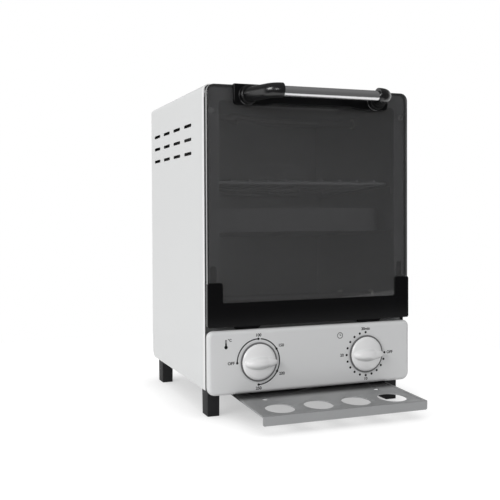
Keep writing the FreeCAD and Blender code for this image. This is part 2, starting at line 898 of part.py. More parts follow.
def timer_body():
    x = sides["right"] * knob_x
    rear = rail_back_y + timer_depth
    drum = rod(timer_radius, at(x, rail_back_y, knob_z), at(x, rear, knob_z))
    post = rod(bell_post_radius, at(x, rear - overrun, knob_z), at(x, rear + bell_gap, knob_z))
    return without(join(drum, post), shaft_socket(sides["right"]))


def timer_bell():
    # A shallow cup with its closed side on the timer's post.
    x = sides["right"] * knob_x
    start = rail_back_y + timer_depth + bell_gap
    cup = rod(bell_radius, at(x, start, knob_z), at(x, start + bell_height, knob_z))
    hollow = rod(bell_radius - bell_wall, at(x, start + bell_wall, knob_z),
                 at(x, start + bell_height + overrun, knob_z))
    return without(cup, hollow)


def terminal_block():
    half = terminal_block_width / 2
    y = (terminal_block_y - terminal_block_depth / 2, terminal_block_y + terminal_block_depth / 2)
    top_z = base_top_z + terminal_block_height
    solids = [block((-half, half), y, (base_top_z, top_z))]
    pitch = terminal_block_width / terminal_ways
    for i in range(terminal_ways):
        x = (i - (terminal_ways - 1) / 2) * pitch
        solids.append(rod(terminal_screw_radius, at(x, terminal_block_y, top_z),
                          at(x, terminal_block_y, top_z + terminal_screw_height)))
    return solids


def knob(side):
    x = side * knob_x
    ring_front = knob_back_y - knob_ring_thickness
    skirt_front = knob_back_y - knob_skirt_height
    rim_radius = knob_radius - knob_skirt_draft
    dome_front = skirt_front - knob_dome_height
    spindle = (at(x, knob_back_y, knob_z), at(x, dome_front, knob_z))
    corners = [
        spindle[0],
        at(x + knob_hub_radius, knob_back_y, knob_z),
        at(x + knob_hub_radius, ring_front, knob_z),
        at(x + knob_radius, ring_front, knob_z),
        at(x + rim_radius, skirt_front, knob_z),
    ]
    back_lines = [Part.makeLine(start, end) for start, end in zip(corners, corners[1:])]
    sphere_radius = (rim_radius ** 2 + knob_dome_height ** 2) / (2 * knob_dome_height)
    half_run = rim_radius / 2
    half_rise = math.sqrt(sphere_radius ** 2 - half_run ** 2) - (sphere_radius - knob_dome_height)
    dome = Part.Arc(
        at(x + rim_radius, skirt_front, knob_z),
        at(x + half_run, skirt_front - half_rise, knob_z),
        spindle[1],
    ).toShape()
    centre_line = Part.makeLine(spindle[1], spindle[0])
    profile = Part.Face(Part.Wire(back_lines + [dome, centre_line]))
    cap = profile.revolve(spindle[0], at(0, 1, 0), 360)
    grip_y = (skirt_front, knob_back_y - knob_skirt_height - knob_grip_rise)
    tail = at(x - knob_grip_tail, grip_y[0], knob_z)
    tip = at(x + knob_grip_tip, grip_y[0], knob_z)
    upper = Part.Arc(tail, at(x, grip_y[0], knob_z + knob_grip_width / 2), tip).toShape()
    lower = Part.Arc(tip, at(x, grip_y[0], knob_z - knob_grip_width / 2), tail).toShape()
    grip = Part.Face(Part.Wire([upper, lower])).extrude(at(0, grip_y[1] - grip_y[0], 0))
    front_edges = [edge for edge in grip.Edges if abs(edge.BoundBox.YMax - grip_y[1]) < seat_clearance]
    grip = grip.makeFillet(knob_grip_edge_radius, front_edges)
    return without(join(cap, grip), control_shaft(side))


def knob_ring(side):
    # The dark ring that shows round the knob's foot.
    start = at(side * knob_x, knob_back_y, knob_z)
    end = at(side * knob_x, knob_back_y - knob_ring_thickness, knob_z)
    return rod(knob_radius + knob_ring_overhang, start, end).cut(rod(knob_hub_radius, start, end))


def door_glass():
    pane = plate_facing_y(
        [
            (-door_half_width, glass_bottom, 0),
            (door_half_width, glass_bottom, 0),
            (door_half_width, door_top, door_corner_radius),
            (-door_half_width, door_top, door_corner_radius),
        ],
        (glass_front_y, glass_back_y),
    )
    holes = [
        rod(handle_screw_radius, at(side * handle_post_x, glass_front_y - overrun, handle_z),
            at(side * handle_post_x, glass_back_y + overrun, handle_z))
        for side in sides.values()
    ]
    return without(pane, *holes)


def door_seal():
    # A black strip behind the glass, along its sides and top, with a skirt beside the frame's edges.
    half = door_half_width - seal_edge_inset
    low = bracket_arm_top + seat_clearance
    top = door_top - seal_edge_inset
    radius = door_corner_radius
    y = (glass_back_y, glass_back_y + seal_thickness)
    outside = plate_facing_y([(-half, low, 0), (half, low, 0), (half, top, radius), (-half, top, radius)], y)
    half -= seal_width
    top -= seal_width
    radius -= seal_width
    low -= overrun
    inside = [(-half, low, 0), (half, low, 0), (half, top, radius), (-half, top, radius)]
    strip = outside.cut(plate_facing_y(inside, (y[0] - overrun, y[1] + overrun)))
    outer = half + seal_width
    skirt_z = (low + overrun, top + seal_width - door_corner_radius)
    skirts = [
        block((side * (outer - seal_skirt_thickness), side * outer), (y[0], front_y - seal_skirt_gap), skirt_z)
        for side in sides.values()
    ]
    return join(strip, *skirts)


def hinge_axis(x):
    return at(x, hinge_y, hinge_z)


def door_lower_bracket():
    outer = bracket_half_width
    inner = bracket_half_width - bracket_arm_width
    radius = bracket_corner_radius
    body = plate_facing_y(
        [
            (-outer, bracket_bottom, radius),
            (outer, bracket_bottom, radius),
            (outer, bracket_arm_top, radius),
            (inner, bracket_arm_top, radius),
            (inner, bracket_band_top, radius),
            (-inner, bracket_band_top, radius),
            (-inner, bracket_arm_top, radius),
            (-outer, bracket_arm_top, radius),
        ],
        (bracket_front_y, bracket_back_y),
    )
    tab_y = (bracket_front_y + tab_front_inset, bracket_back_y - tab_back_inset)
    tabs = []
    tab_x = bracket_half_width - tab_side_inset
    for start in (-tab_x, tab_x - tab_length):
        tabs.append(plate_facing_y(
            [
                (start, bracket_bottom + radius, 0),
                (start, tab_bottom, 0),
                (start + tab_length - tab_slope, tab_bottom, 0),
                (start + tab_length, bracket_bottom, 0),
                (start + tab_length, bracket_bottom + radius, 0),
            ],
            tab_y,
        ))
    body = join(body, *tabs)
    pocket = block((-door_half_width, door_half_width), (glass_front_y, glass_back_y),
                   (glass_bottom, bracket_arm_top + overrun))
    cuts = [pocket]
    notch_reach = hinge_ear_radius + seat_clearance
    for side in sides.values():
        ear_half = hinge_ear_thickness / 2 + seat_clearance
        cuts.append(block(
            (side * hinge_ear_x - ear_half, side * hinge_ear_x + ear_half),
            (hinge_y - notch_reach, bracket_back_y + overrun),
            (bracket_bottom - overrun, hinge_z + notch_reach),
        ))
        bore_half = hinge_pin_length / 2 + seat_clearance
        cuts.append(rod(hinge_pin_radius + hinge_pin_clearance,
                        hinge_axis(side * hinge_ear_x - bore_half),
                        hinge_axis(side * hinge_ear_x + bore_half)))
    return without(body, *cuts)


def hinge_bracket(side):
    # A steel lug on the front rail that carries one hinge pin.
    half = hinge_ear_thickness / 2
    ear_x = (side * hinge_ear_x - half, side * hinge_ear_x + half)
    nose = rod(hinge_ear_radius, hinge_axis(ear_x[0]), hinge_axis(ear_x[1]))
    arm = block(ear_x, (hinge_y, rail_front_y), (hinge_z - hinge_ear_radius, hinge_z + hinge_ear_radius))
    ear_outer = side * (hinge_ear_x - half)
    foot_plate = block(
        (ear_outer, ear_outer + side * hinge_foot_width),
        (rail_front_y - sheet, rail_front_y),
        (frame_bottom - hinge_foot_height, frame_bottom),
    )
    bore = rod(hinge_pin_radius, hinge_axis(ear_x[0] - overrun), hinge_axis(ear_x[1] + overrun))
    return without(join(nose, arm, foot_plate), bore)


def hinge_pin(side):
    half = hinge_pin_length / 2
    return rod(hinge_pin_radius, hinge_axis(side * hinge_ear_x - half), hinge_axis(side * hinge_ear_x + half))


def door_arm(side):
    # A quadrant strip round the hinge line, with a foot against the back of the lower bracket.
    x = (side * arm_x - arm_thickness / 2, side * arm_x + arm_thickness / 2)
    disc = rod(arm_outer_radius, hinge_axis(x[0]), hinge_axis(x[1]))
    hole = rod(arm_inner_radius, hinge_axis(x[0] - overrun), hinge_axis(x[1] + overrun))
    ring = disc.cut(hole)
    tail_angle = math.radians(arm_tail_angle)
    reach = 2 * arm_outer_radius
    tail_z = hinge_z - reach * math.sin(tail_angle)
    tail_y = hinge_y + reach * math.cos(tail_angle)
    sector = plate_facing_x(
        [
            (hinge_y, hinge_z, 0),
            (tail_y, tail_z, 0),
            (tail_y, hinge_z + reach, 0),
            (bracket_back_y, hinge_z + reach, 0),
            (bracket_back_y, hinge_z + arm_inner_radius / 2, 0),
        ],
        (x[0] - overrun, x[1] + overrun),
    )
    strip = ring.common(sector)
    foot_plate = block(
        (side * arm_x - arm_foot_width / 2, side * arm_x + arm_foot_width / 2),
        (bracket_back_y, bracket_back_y + sheet),
        (arm_foot_top - arm_foot_height, arm_foot_top),
    )
    return join(strip, foot_plate)


def door_spring(side):
    return rod(spring_radius, at(side * arm_x, spring_y, spring_bottom),
               at(side * arm_x, spring_y, spring_top))


def spring_lugs():
    half = spring_lug_width / 2
    return [
        block((side * arm_x - half, side * arm_x + half), (spring_y - half, spring_y + half),
              (base_top_z, spring_bottom))
        for side in sides.values()
    ]


def handle_plate():
    half = handle_half_width
    waist_x = half - handle_waist_start - handle_waist_run
    radius = handle_plate_corner_radius
    waist_z = handle_plate_bottom + handle_waist_rise
    corners = [
        (-half, handle_plate_bottom, radius),
        (-half + handle_waist_start, handle_plate_bottom, 2 * radius),
        (-waist_x, waist_z, 2 * radius),
        (waist_x, waist_z, 2 * radius),
        (half - handle_waist_start, handle_plate_bottom, 2 * radius),
        (half, handle_plate_bottom, radius),
        (half, handle_plate_top, radius / 4),
        (-half, handle_plate_top, radius / 4),
    ]
    plate = plate_facing_y(corners, (handle_plate_y, glass_front_y))
    holes = [
        rod(handle_screw_radius, at(side * handle_post_x, handle_plate_y - overrun, handle_z),
            at(side * handle_post_x, glass_front_y + overrun, handle_z))
        for side in sides.values()
    ]
    return without(plate, *holes)


def handle_post(side):
    # A round boss on the plate, and an elbow that leans inwards and turns into the tube's line.
    base = at(side * handle_post_x, handle_plate_y, handle_z)
    boss = rod(handle_boss_radius, base, base - at(0, handle_boss_height, 0))
    route = [
        at(side * handle_post_x, handle_plate_y - handle_elbow_straight / 2, handle_z),
        at(side * handle_post_x, handle_plate_y - handle_elbow_straight, handle_z),
        at(side * (handle_tube_end_x + handle_elbow_lean), handle_tube_y, handle_z),
        at(side * handle_tube_end_x, handle_tube_y, handle_z),
    ]
    edges = []
    last = route[0]
    for i in (1, 2):
        here = route[i]
        back = (route[i - 1] - here).normalize()
        onward = (route[i + 1] - here).normalize()
        half_angle = back.getAngle(onward) / 2
        run = handle_elbow_bend / math.tan(half_angle)
        middle = (back + onward).normalize()
        crown = here + middle * (handle_elbow_bend / math.sin(half_angle) - handle_elbow_bend)
        edges.append(Part.makeLine(last, here + back * run))
        edges.append(Part.Arc(here + back * run, crown, here + onward * run).toShape())
        last = here + onward * run
    edges.append(Part.makeLine(last, route[3]))
    spine = Part.Wire(edges)
    circle = Part.Wire(Part.makeCircle(handle_elbow_radius, route[0], at(0, -1, 0)))
    elbow = spine.makePipeShell([circle], True, True)
    bore_end = handle_plate_y - handle_screw_bite
    screw_bore = rod(handle_screw_radius, base, at(side * handle_post_x, bore_end, handle_z))
    socket_x = handle_tube_end_x + handle_tube_insert
    tube_socket = rod(handle_tube_radius, at(0, handle_tube_y, handle_z),
                      at(side * socket_x, handle_tube_y, handle_z))
    return without(join(boss, elbow), screw_bore, tube_socket)


def handle_tube():
    half = handle_tube_end_x + handle_tube_insert
    ends = [at(-half, handle_tube_y, handle_z), at(half, handle_tube_y, handle_z)]
    return rod(handle_tube_radius, *ends).cut(rod(handle_tube_radius - handle_tube_wall, *ends))


def handle_screws():
    screws = []
    for side in sides.values():
        x = side * handle_post_x
        head = rod(handle_screw_head_radius, at(x, glass_back_y, handle_z),
                   at(x, glass_back_y + handle_screw_head_height, handle_z))
        shank = rod(handle_screw_radius, at(x, glass_back_y, handle_z),
                    at(x, handle_plate_y - handle_screw_bite, handle_z))
        screws.append(join(head, shank))
    return screws


def tilted(shape):
    # The tray and its runners share one plane, which drops towards the front.
    turned = shape.copy()
    turned.rotate(at(0, tray_front_y, tray_lip_top), at(1, 0, 0), tray_slope)
    return turned


def bottom_tray():
    x = (-tray_half_width, tray_half_width)
    rear = tray_front_y + tray_length
    under = tray_lip_top - tray_sheet
    plate = block(x, (tray_front_y, rear), (under, tray_lip_top))
    lip = block(x, (tray_front_y, tray_front_y + tray_sheet), (tray_lip_top - tray_lip_height, tray_lip_top))
    hem_z = (under, tray_lip_top + tray_hem_rise)
    hem = block(x, (tray_front_y, rear), hem_z)
    inside = (x[0] + tray_hem_width, x[1] - tray_hem_width)
    hem = hem.cut(block(inside, (tray_front_y + tray_hem_width, rear + overrun),
                        (under - overrun, hem_z[1] + overrun)))
    body = join(plate, lip, hem)
    holes = []
    for i in range(tray_hole_count):
        hole_x = (i - (tray_hole_count - 1) / 2) * tray_hole_pitch
        hole_y = tray_front_y + tray_hole_inset
        holes.append(rod(tray_hole_radius, at(hole_x, hole_y, under - overrun),
                         at(hole_x, hole_y, tray_lip_top + overrun)))
    for side in sides.values():
        hole_x = side * (tray_half_width - tray_small_hole_side_inset)
        hole_y = tray_front_y + tray_small_hole_inset
        holes.append(rod(tray_small_hole_radius, at(hole_x, hole_y, under - overrun),
                         at(hole_x, hole_y, tray_lip_top + overrun)))
    return tilted(without(body, *holes))


def tray_runner(side):
    y = (front_y + runner_setback, front_y + runner_setback + runner_length)
    top = tray_lip_top - tray_sheet - seat_clearance
    web_x = side * (tray_half_width + seat_clearance)
    outer_x = web_x + side * sheet
    slope = math.tan(math.radians(tray_slope))
    ledge = block((side * (tray_half_width - runner_grip), outer_x),
                  (y[0] - overrun, y[1] + overrun), (top - sheet, top))
    ledge = tilted(ledge).common(block((web_x * 2, 0), y, (0, base_z)))
    low_z = [top - sheet / 2 + slope * (place - tray_front_y) for place in y]
    web = plate_facing_x(
        [(y[0], low_z[0], 0), (y[1], low_z[1], 0), (y[1], base_z, 0), (y[0], base_z, 0)],
        (web_x, outer_x),
    )
    foot_plate = block((web_x, web_x + side * runner_foot), y, (base_z - sheet, base_z))
    return join(ledge, web, foot_plate)


def wire_rack():
    half = rack_half_width
    front = frame_back_y + rack_front_inset
    rear = chamber_rear_y - rack_rear_gap
    corners = rectangle((-half, half), (front, rear), rack_corner_radius)
    path = outline(corners, lambda u, v: at(u, v, rack_z))
    start = path.Edges[0].Vertexes[0].Point
    tangent = path.Edges[0].tangentAt(path.Edges[0].FirstParameter)
    circle = Part.Wire(Part.makeCircle(rack_rail_radius, start, tangent))
    rail = path.makePipeShell([circle], True, True)
    wire_z = rack_z + rack_rail_radius + rack_wire_radius - rack_weld
    wires = []
    for i in range(rack_wire_count):
        x = (i - (rack_wire_count - 1) / 2) * rack_wire_pitch
        wires.append(rod(rack_wire_radius, at(x, front, wire_z), at(x, rear, wire_z)))
    return join(rail, *wires)


def instrument_pan():
    front = frame_back_y + pan_front_inset
    rear = chamber_rear_y - pan_rear_gap
    wall = liner_sheet
    outside = rectangle((-pan_half_width, pan_half_width), (front, rear), pan_corner_radius)
    inside = rectangle((wall - pan_half_width, pan_half_width - wall), (front + wall, rear - wall),
                       pan_corner_radius - wall)
    body = plate_facing_z(outside, (pan_bottom, pan_top))
    rim = plate_facing_z(
        rectangle((-pan_rim_half_width, pan_rim_half_width), (front, rear), pan_corner_radius),
        (pan_top - wall, pan_top),
    )
    hollow = plate_facing_z(inside, (pan_bottom + wall, pan_top + overrun))
    return without(join(body, rim), hollow)


pieces = {
    "outer_wrapper": [outer_wrapper()],
    "rear_cover": [rear_cover()],
    "rear_screws": rear_screws(),
    "cord_gland": [cord_gland()],
    "base_plate": [base_plate()],
    "foot_screws": foot_screws(),
    "front_frame": [front_frame()],
    "frame_screws": frame_screws(),
    "control_panel": [control_panel()],
    "panel_screws": panel_screws(),
    "chamber_roof": [chamber_roof()],
    "chamber_floor": [chamber_floor()],
    "chamber_back": [chamber_back()],
    "heater_bushes": heater_bushes(),
    "thermostat_body": [thermostat_body()],
    "thermostat_shaft": [control_shaft(sides["left"])],
    "temperature_knob": [knob(sides["left"])],
    "temperature_knob_ring": [knob_ring(sides["left"])],
    "timer_body": [timer_body()],
    "timer_bell": [timer_bell()],
    "timer_shaft": [control_shaft(sides["right"])],
    "timer_knob": [knob(sides["right"])],
    "timer_knob_ring": [knob_ring(sides["right"])],
    "terminal_block": terminal_block(),
    "spring_lugs": spring_lugs(),
    "door_glass": [door_glass()],
    "door_seal": [door_seal()],
    "door_lower_bracket": [door_lower_bracket()],
    "handle_plate": [handle_plate()],
    "handle_tube": [handle_tube()],
    "handle_screws": handle_screws(),
    "bottom_tray": [bottom_tray()],
    "wire_rack": [wire_rack()],
    "instrument_pan": [instrument_pan()],
}
for name, side in sides.items():
    pieces["chamber_wall_" + name] = [chamber_wall(side)]
    pieces["shelf_runners_" + name] = shelf_runner(side)
    pieces["hinge_bracket_" + name] = [hinge_bracket(side)]
    pieces["hinge_pin_" + name] = [hinge_pin(side)]
    pieces["door_arm_" + name] = [door_arm(side)]
    pieces["door_spring_" + name] = [door_spring(side)]
    pieces["handle_post_" + name] = [handle_post(side)]
    pieces["tray_runner_" + name] = [tray_runner(side)]
for name, place in feet.items():
    pieces["foot_" + name] = [foot(place)]
for name, place in heaters.items():
    pieces[name] = [heating_rod(place)]

os.makedirs("parts", exist_ok=True)
for name, solids in sorted(pieces.items()):
    bodies = [body for solid in solids for body in solid.Solids]
    shape = bodies[0] if len(bodies) == 1 else Part.makeCompound(bodies)
    shape.exportStep("parts/" + name + ".step")
    volume = sum(body.Volume for body in bodies)
    valid = all(body.isValid() for body in bodies)
    print(name, "solids", len(bodies), "expected", len(solids), "volume", round(volume), "valid", valid)
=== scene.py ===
import bpy
from math import atan2, cos, degrees, pi, radians, sin, sqrt
from mathutils import Euler, Matrix, Vector


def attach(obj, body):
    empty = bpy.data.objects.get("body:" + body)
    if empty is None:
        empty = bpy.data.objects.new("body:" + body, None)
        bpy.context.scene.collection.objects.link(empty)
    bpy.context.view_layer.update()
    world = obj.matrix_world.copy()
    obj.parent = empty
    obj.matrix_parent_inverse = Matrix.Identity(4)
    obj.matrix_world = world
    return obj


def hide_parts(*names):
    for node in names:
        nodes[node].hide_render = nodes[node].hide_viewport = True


# Bench-top dry heat sterilizer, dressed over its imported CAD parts.
# Sizes in the dictionaries are millimetres, and at() turns a place into metres.

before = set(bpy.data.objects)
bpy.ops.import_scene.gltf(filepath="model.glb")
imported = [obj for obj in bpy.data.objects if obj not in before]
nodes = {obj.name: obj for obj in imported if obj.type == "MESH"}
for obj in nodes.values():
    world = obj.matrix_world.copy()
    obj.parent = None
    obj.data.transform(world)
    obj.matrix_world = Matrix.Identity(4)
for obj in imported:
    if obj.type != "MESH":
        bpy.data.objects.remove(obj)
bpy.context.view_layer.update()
mm = 0.001
left, right = -1, 1
across, back, up = Vector((1, 0, 0)), Vector((0, 1, 0)), Vector((0, 0, 1))
print("frame loaded:", len(nodes), "nodes")


def at(x, y, z):
    return Vector((x, y, z)) * mm


def take(values, *keys):
    return [values[key] for key in keys]


# camera

cameraValues = {
    "place": (-351.53, -771.66, 199.34),
    "yaw": 18.465, "pitch": -1.073, "roll": -0.348,
    "lens": 53.18, "shiftX": 0.117, "shiftY": -0.0456, "clipStart": 10,
}


def addCamera(values):
    yaw, pitch, roll = (radians(angle) for angle in take(values, "yaw", "pitch", "roll"))
    forward = Vector((sin(yaw) * cos(pitch), cos(yaw) * cos(pitch), sin(pitch)))
    level = Vector((cos(yaw), -sin(yaw), 0))
    high = level.cross(forward)
    rightward = cos(roll) * level + sin(roll) * high
    upward = cos(roll) * high - sin(roll) * level
    turn = Matrix((rightward, upward, -forward)).transposed().to_4x4()
    bpy.ops.object.camera_add()
    camera = bpy.context.object
    camera.matrix_world = Matrix.Translation(at(*values["place"])) @ turn
    camera.data.lens, camera.data.shift_x, camera.data.shift_y = take(values, "lens", "shiftX", "shiftY")
    camera.data.clip_start = values["clipStart"] * mm
    bpy.context.scene.camera = camera


addCamera(cameraValues)
print("camera placed")


# shader nodes

def feed(tree, socket, value):
    if isinstance(value, bpy.types.NodeSocket):
        tree.links.new(value, socket)
    else:
        socket.default_value = value


def feedAll(tree, node, values):
    for label, value in values.items():
        feed(tree, node.inputs[label], value)


def addNode(tree, kind, settings=None, **values):
    # values are inputs by name, with _ for a space; a socket as a value is linked
    node = tree.nodes.new(kind)
    for key, setting in (settings or {}).items():
        setattr(node, key, setting)
    feedAll(tree, node, {key.replace("_", " "): value for key, value in values.items()})
    return node


def addPair(tree, kind, operation, first, second):
    node = addNode(tree, kind, {"operation": operation})
    feedAll(tree, node, {0: first, 1: second})
    return node.outputs


def maths(tree, operation, first, second=0.0):
    return addPair(tree, "ShaderNodeMath", operation, first, second)[0]


def noise(tree, vector, **values):
    return addNode(tree, "ShaderNodeTexNoise", Vector=vector, **values).outputs["Fac"]


def split(tree, vector):
    return addNode(tree, "ShaderNodeSeparateXYZ", Vector=vector).outputs


def ramp(tree, value, start, full, low=0.0, high=1.0, kind="LINEAR"):
    return addNode(tree, "ShaderNodeMapRange", {"interpolation_type": kind}, Value=value, From_Min=start,
                   From_Max=full, To_Min=low, To_Max=high).outputs[0]


def swingRound(tree, level, cloud, amount):
    # the level, raised or lowered by up to half the amount
    swing = maths(tree, "MULTIPLY", maths(tree, "SUBTRACT", cloud, 0.5), amount)
    return maths(tree, "ADD", swing, level)


def mixColours(tree, share, first, second, blend="MIX"):
    node = addNode(tree, "ShaderNodeMix", {"data_type": "RGBA", "blend_type": blend})
    # a mix node has sockets of every kind: inputs 6 and 7 and output 2 are its colours
    feedAll(tree, node, {0: share, 6: first, 7: second})
    return node.outputs[2]


def useGroup(tree, group, vector, **values):
    return addNode(tree, "ShaderNodeGroup", {"node_tree": group}, Vector=vector, **values).outputs


def objectPlace(tree):
    return addNode(tree, "ShaderNodeTexCoord").outputs["Object"]


def newMaterial(name):
    material = bpy.data.materials.new(name)
    material.use_nodes = True
    return material, material.node_tree, material.node_tree.nodes["Principled BSDF"]


def coverShader(tree, share, shader, cover):
    # shows the cover in place of the shader for that share of the light
    mix = addNode(tree, "ShaderNodeMixShader")
    feedAll(tree, mix, {0: share, 1: shader.outputs[0], 2: cover.outputs[0]})
    feed(tree, tree.nodes["Material Output"].inputs["Surface"], mix.outputs[0])


# node groups that the materials share

def newGroup(name, inputs, outputs):
    group = bpy.data.node_groups.new(name, "ShaderNodeTree")
    kinds = {"f": "NodeSocketFloat", "c": "NodeSocketColor", "v": "NodeSocketVector"}
    for way, sockets in (("INPUT", inputs), ("OUTPUT", outputs)):
        for label, kind in sockets.items():
            group.interface.new_socket(label, in_out=way, socket_type=kinds[kind])
    return group, addNode(group, "NodeGroupInput").outputs, addNode(group, "NodeGroupOutput").inputs


def buildDrift():
    # slow, cloudy change of tone over a surface
    group, entry, leave = newGroup(
        "toneDrift", {"Vector": "v", "Colour": "c", "Scale": "f", "Amount": "f"}, {"Colour": "c"})
    cloud = noise(group, entry["Vector"], Scale=entry["Scale"], Detail=4.0, Roughness=0.55)
    level = swingRound(group, 1.0, cloud, entry["Amount"])
    grey = addNode(group, "ShaderNodeCombineColor", Red=level, Green=level, Blue=level).outputs[0]
    feed(group, leave["Colour"], mixColours(group, 1.0, entry["Colour"], grey, "MULTIPLY"))
    return group


def buildGrain():
    # fine texture of sprayed paint or a moulded skin, as a height and a roughness
    group, entry, leave = newGroup(
        "fineGrain", {"Vector": "v", "Scale": "f", "Roughness": "f", "Swing": "f"},
        {"Height": "f", "Roughness": "f"})
    peel = noise(group, entry["Vector"], Scale=entry["Scale"], Detail=3.0, Roughness=0.6)
    cloud = noise(group, entry["Vector"], Scale=38.0, Detail=5.0)
    feed(group, leave["Height"], peel)
    feed(group, leave["Roughness"], swingRound(group, entry["Roughness"], cloud, entry["Swing"]))
    return group


def buildBrushed():
    # drawn or rolled lines of bare sheet metal; Stretch is large across the lines
    group, entry, leave = newGroup(
        "drawnLines", {"Vector": "v", "Stretch": "v", "Roughness": "f", "Swing": "f"},
        {"Height": "f", "Roughness": "f"})
    drawn = addPair(group, "ShaderNodeVectorMath", "MULTIPLY", entry["Vector"], entry["Stretch"])[0]
    lines = noise(group, drawn, Scale=1.0, Detail=5.0, Roughness=0.65)
    feed(group, leave["Height"], lines)
    feed(group, leave["Roughness"], swingRound(group, entry["Roughness"], lines, entry["Swing"]))
    return group


def buildWearAndHighlight():
    # a mask along outer edges, for rubbed wear and for a painted edge highlight: where the rounded normal
    # leaves the true one, broken up by noise
    group, entry, leave = newGroup("edgeWearAndHighlight", {"Vector": "v", "Radius": "f", "Amount": "f"}, {"Mask": "f"})
    rounded = addNode(group, "ShaderNodeBevel", {"samples": 4}, Radius=entry["Radius"]).outputs[0]
    normal = addNode(group, "ShaderNodeNewGeometry").outputs["Normal"]
    likeness = addPair(group, "ShaderNodeVectorMath", "DOT_PRODUCT", rounded, normal)["Value"]
    edge = ramp(group, likeness, start=0.995, full=0.93)
    broken = ramp(group, noise(group, entry["Vector"], Scale=420.0, Detail=4.0), start=0.42, full=0.62)
    mask = maths(group, "MULTIPLY", edge, broken)
    feed(group, leave["Mask"], maths(group, "MULTIPLY", mask, entry["Amount"]))
    return group


def buildDust():
    # a thin settled film on faces that look up
    group, entry, leave = newGroup("settledDust", {"Vector": "v", "Amount": "f"}, {"Mask": "f"})
    normal = addNode(group, "ShaderNodeNewGeometry").outputs["Normal"]
    facing = ramp(group, split(group, normal)["Z"], start=0.5, full=1.0)
    film = maths(group, "MULTIPLY", facing, noise(group, entry["Vector"], Scale=60.0, Detail=6.0))
    feed(group, leave["Mask"], maths(group, "MULTIPLY", film, entry["Amount"]))
    return group


toneDrift, fineGrain, drawnLines, edgeWearAndHighlight, settledDust = (
    buildDrift(), buildGrain(), buildBrushed(), buildWearAndHighlight(), buildDust())
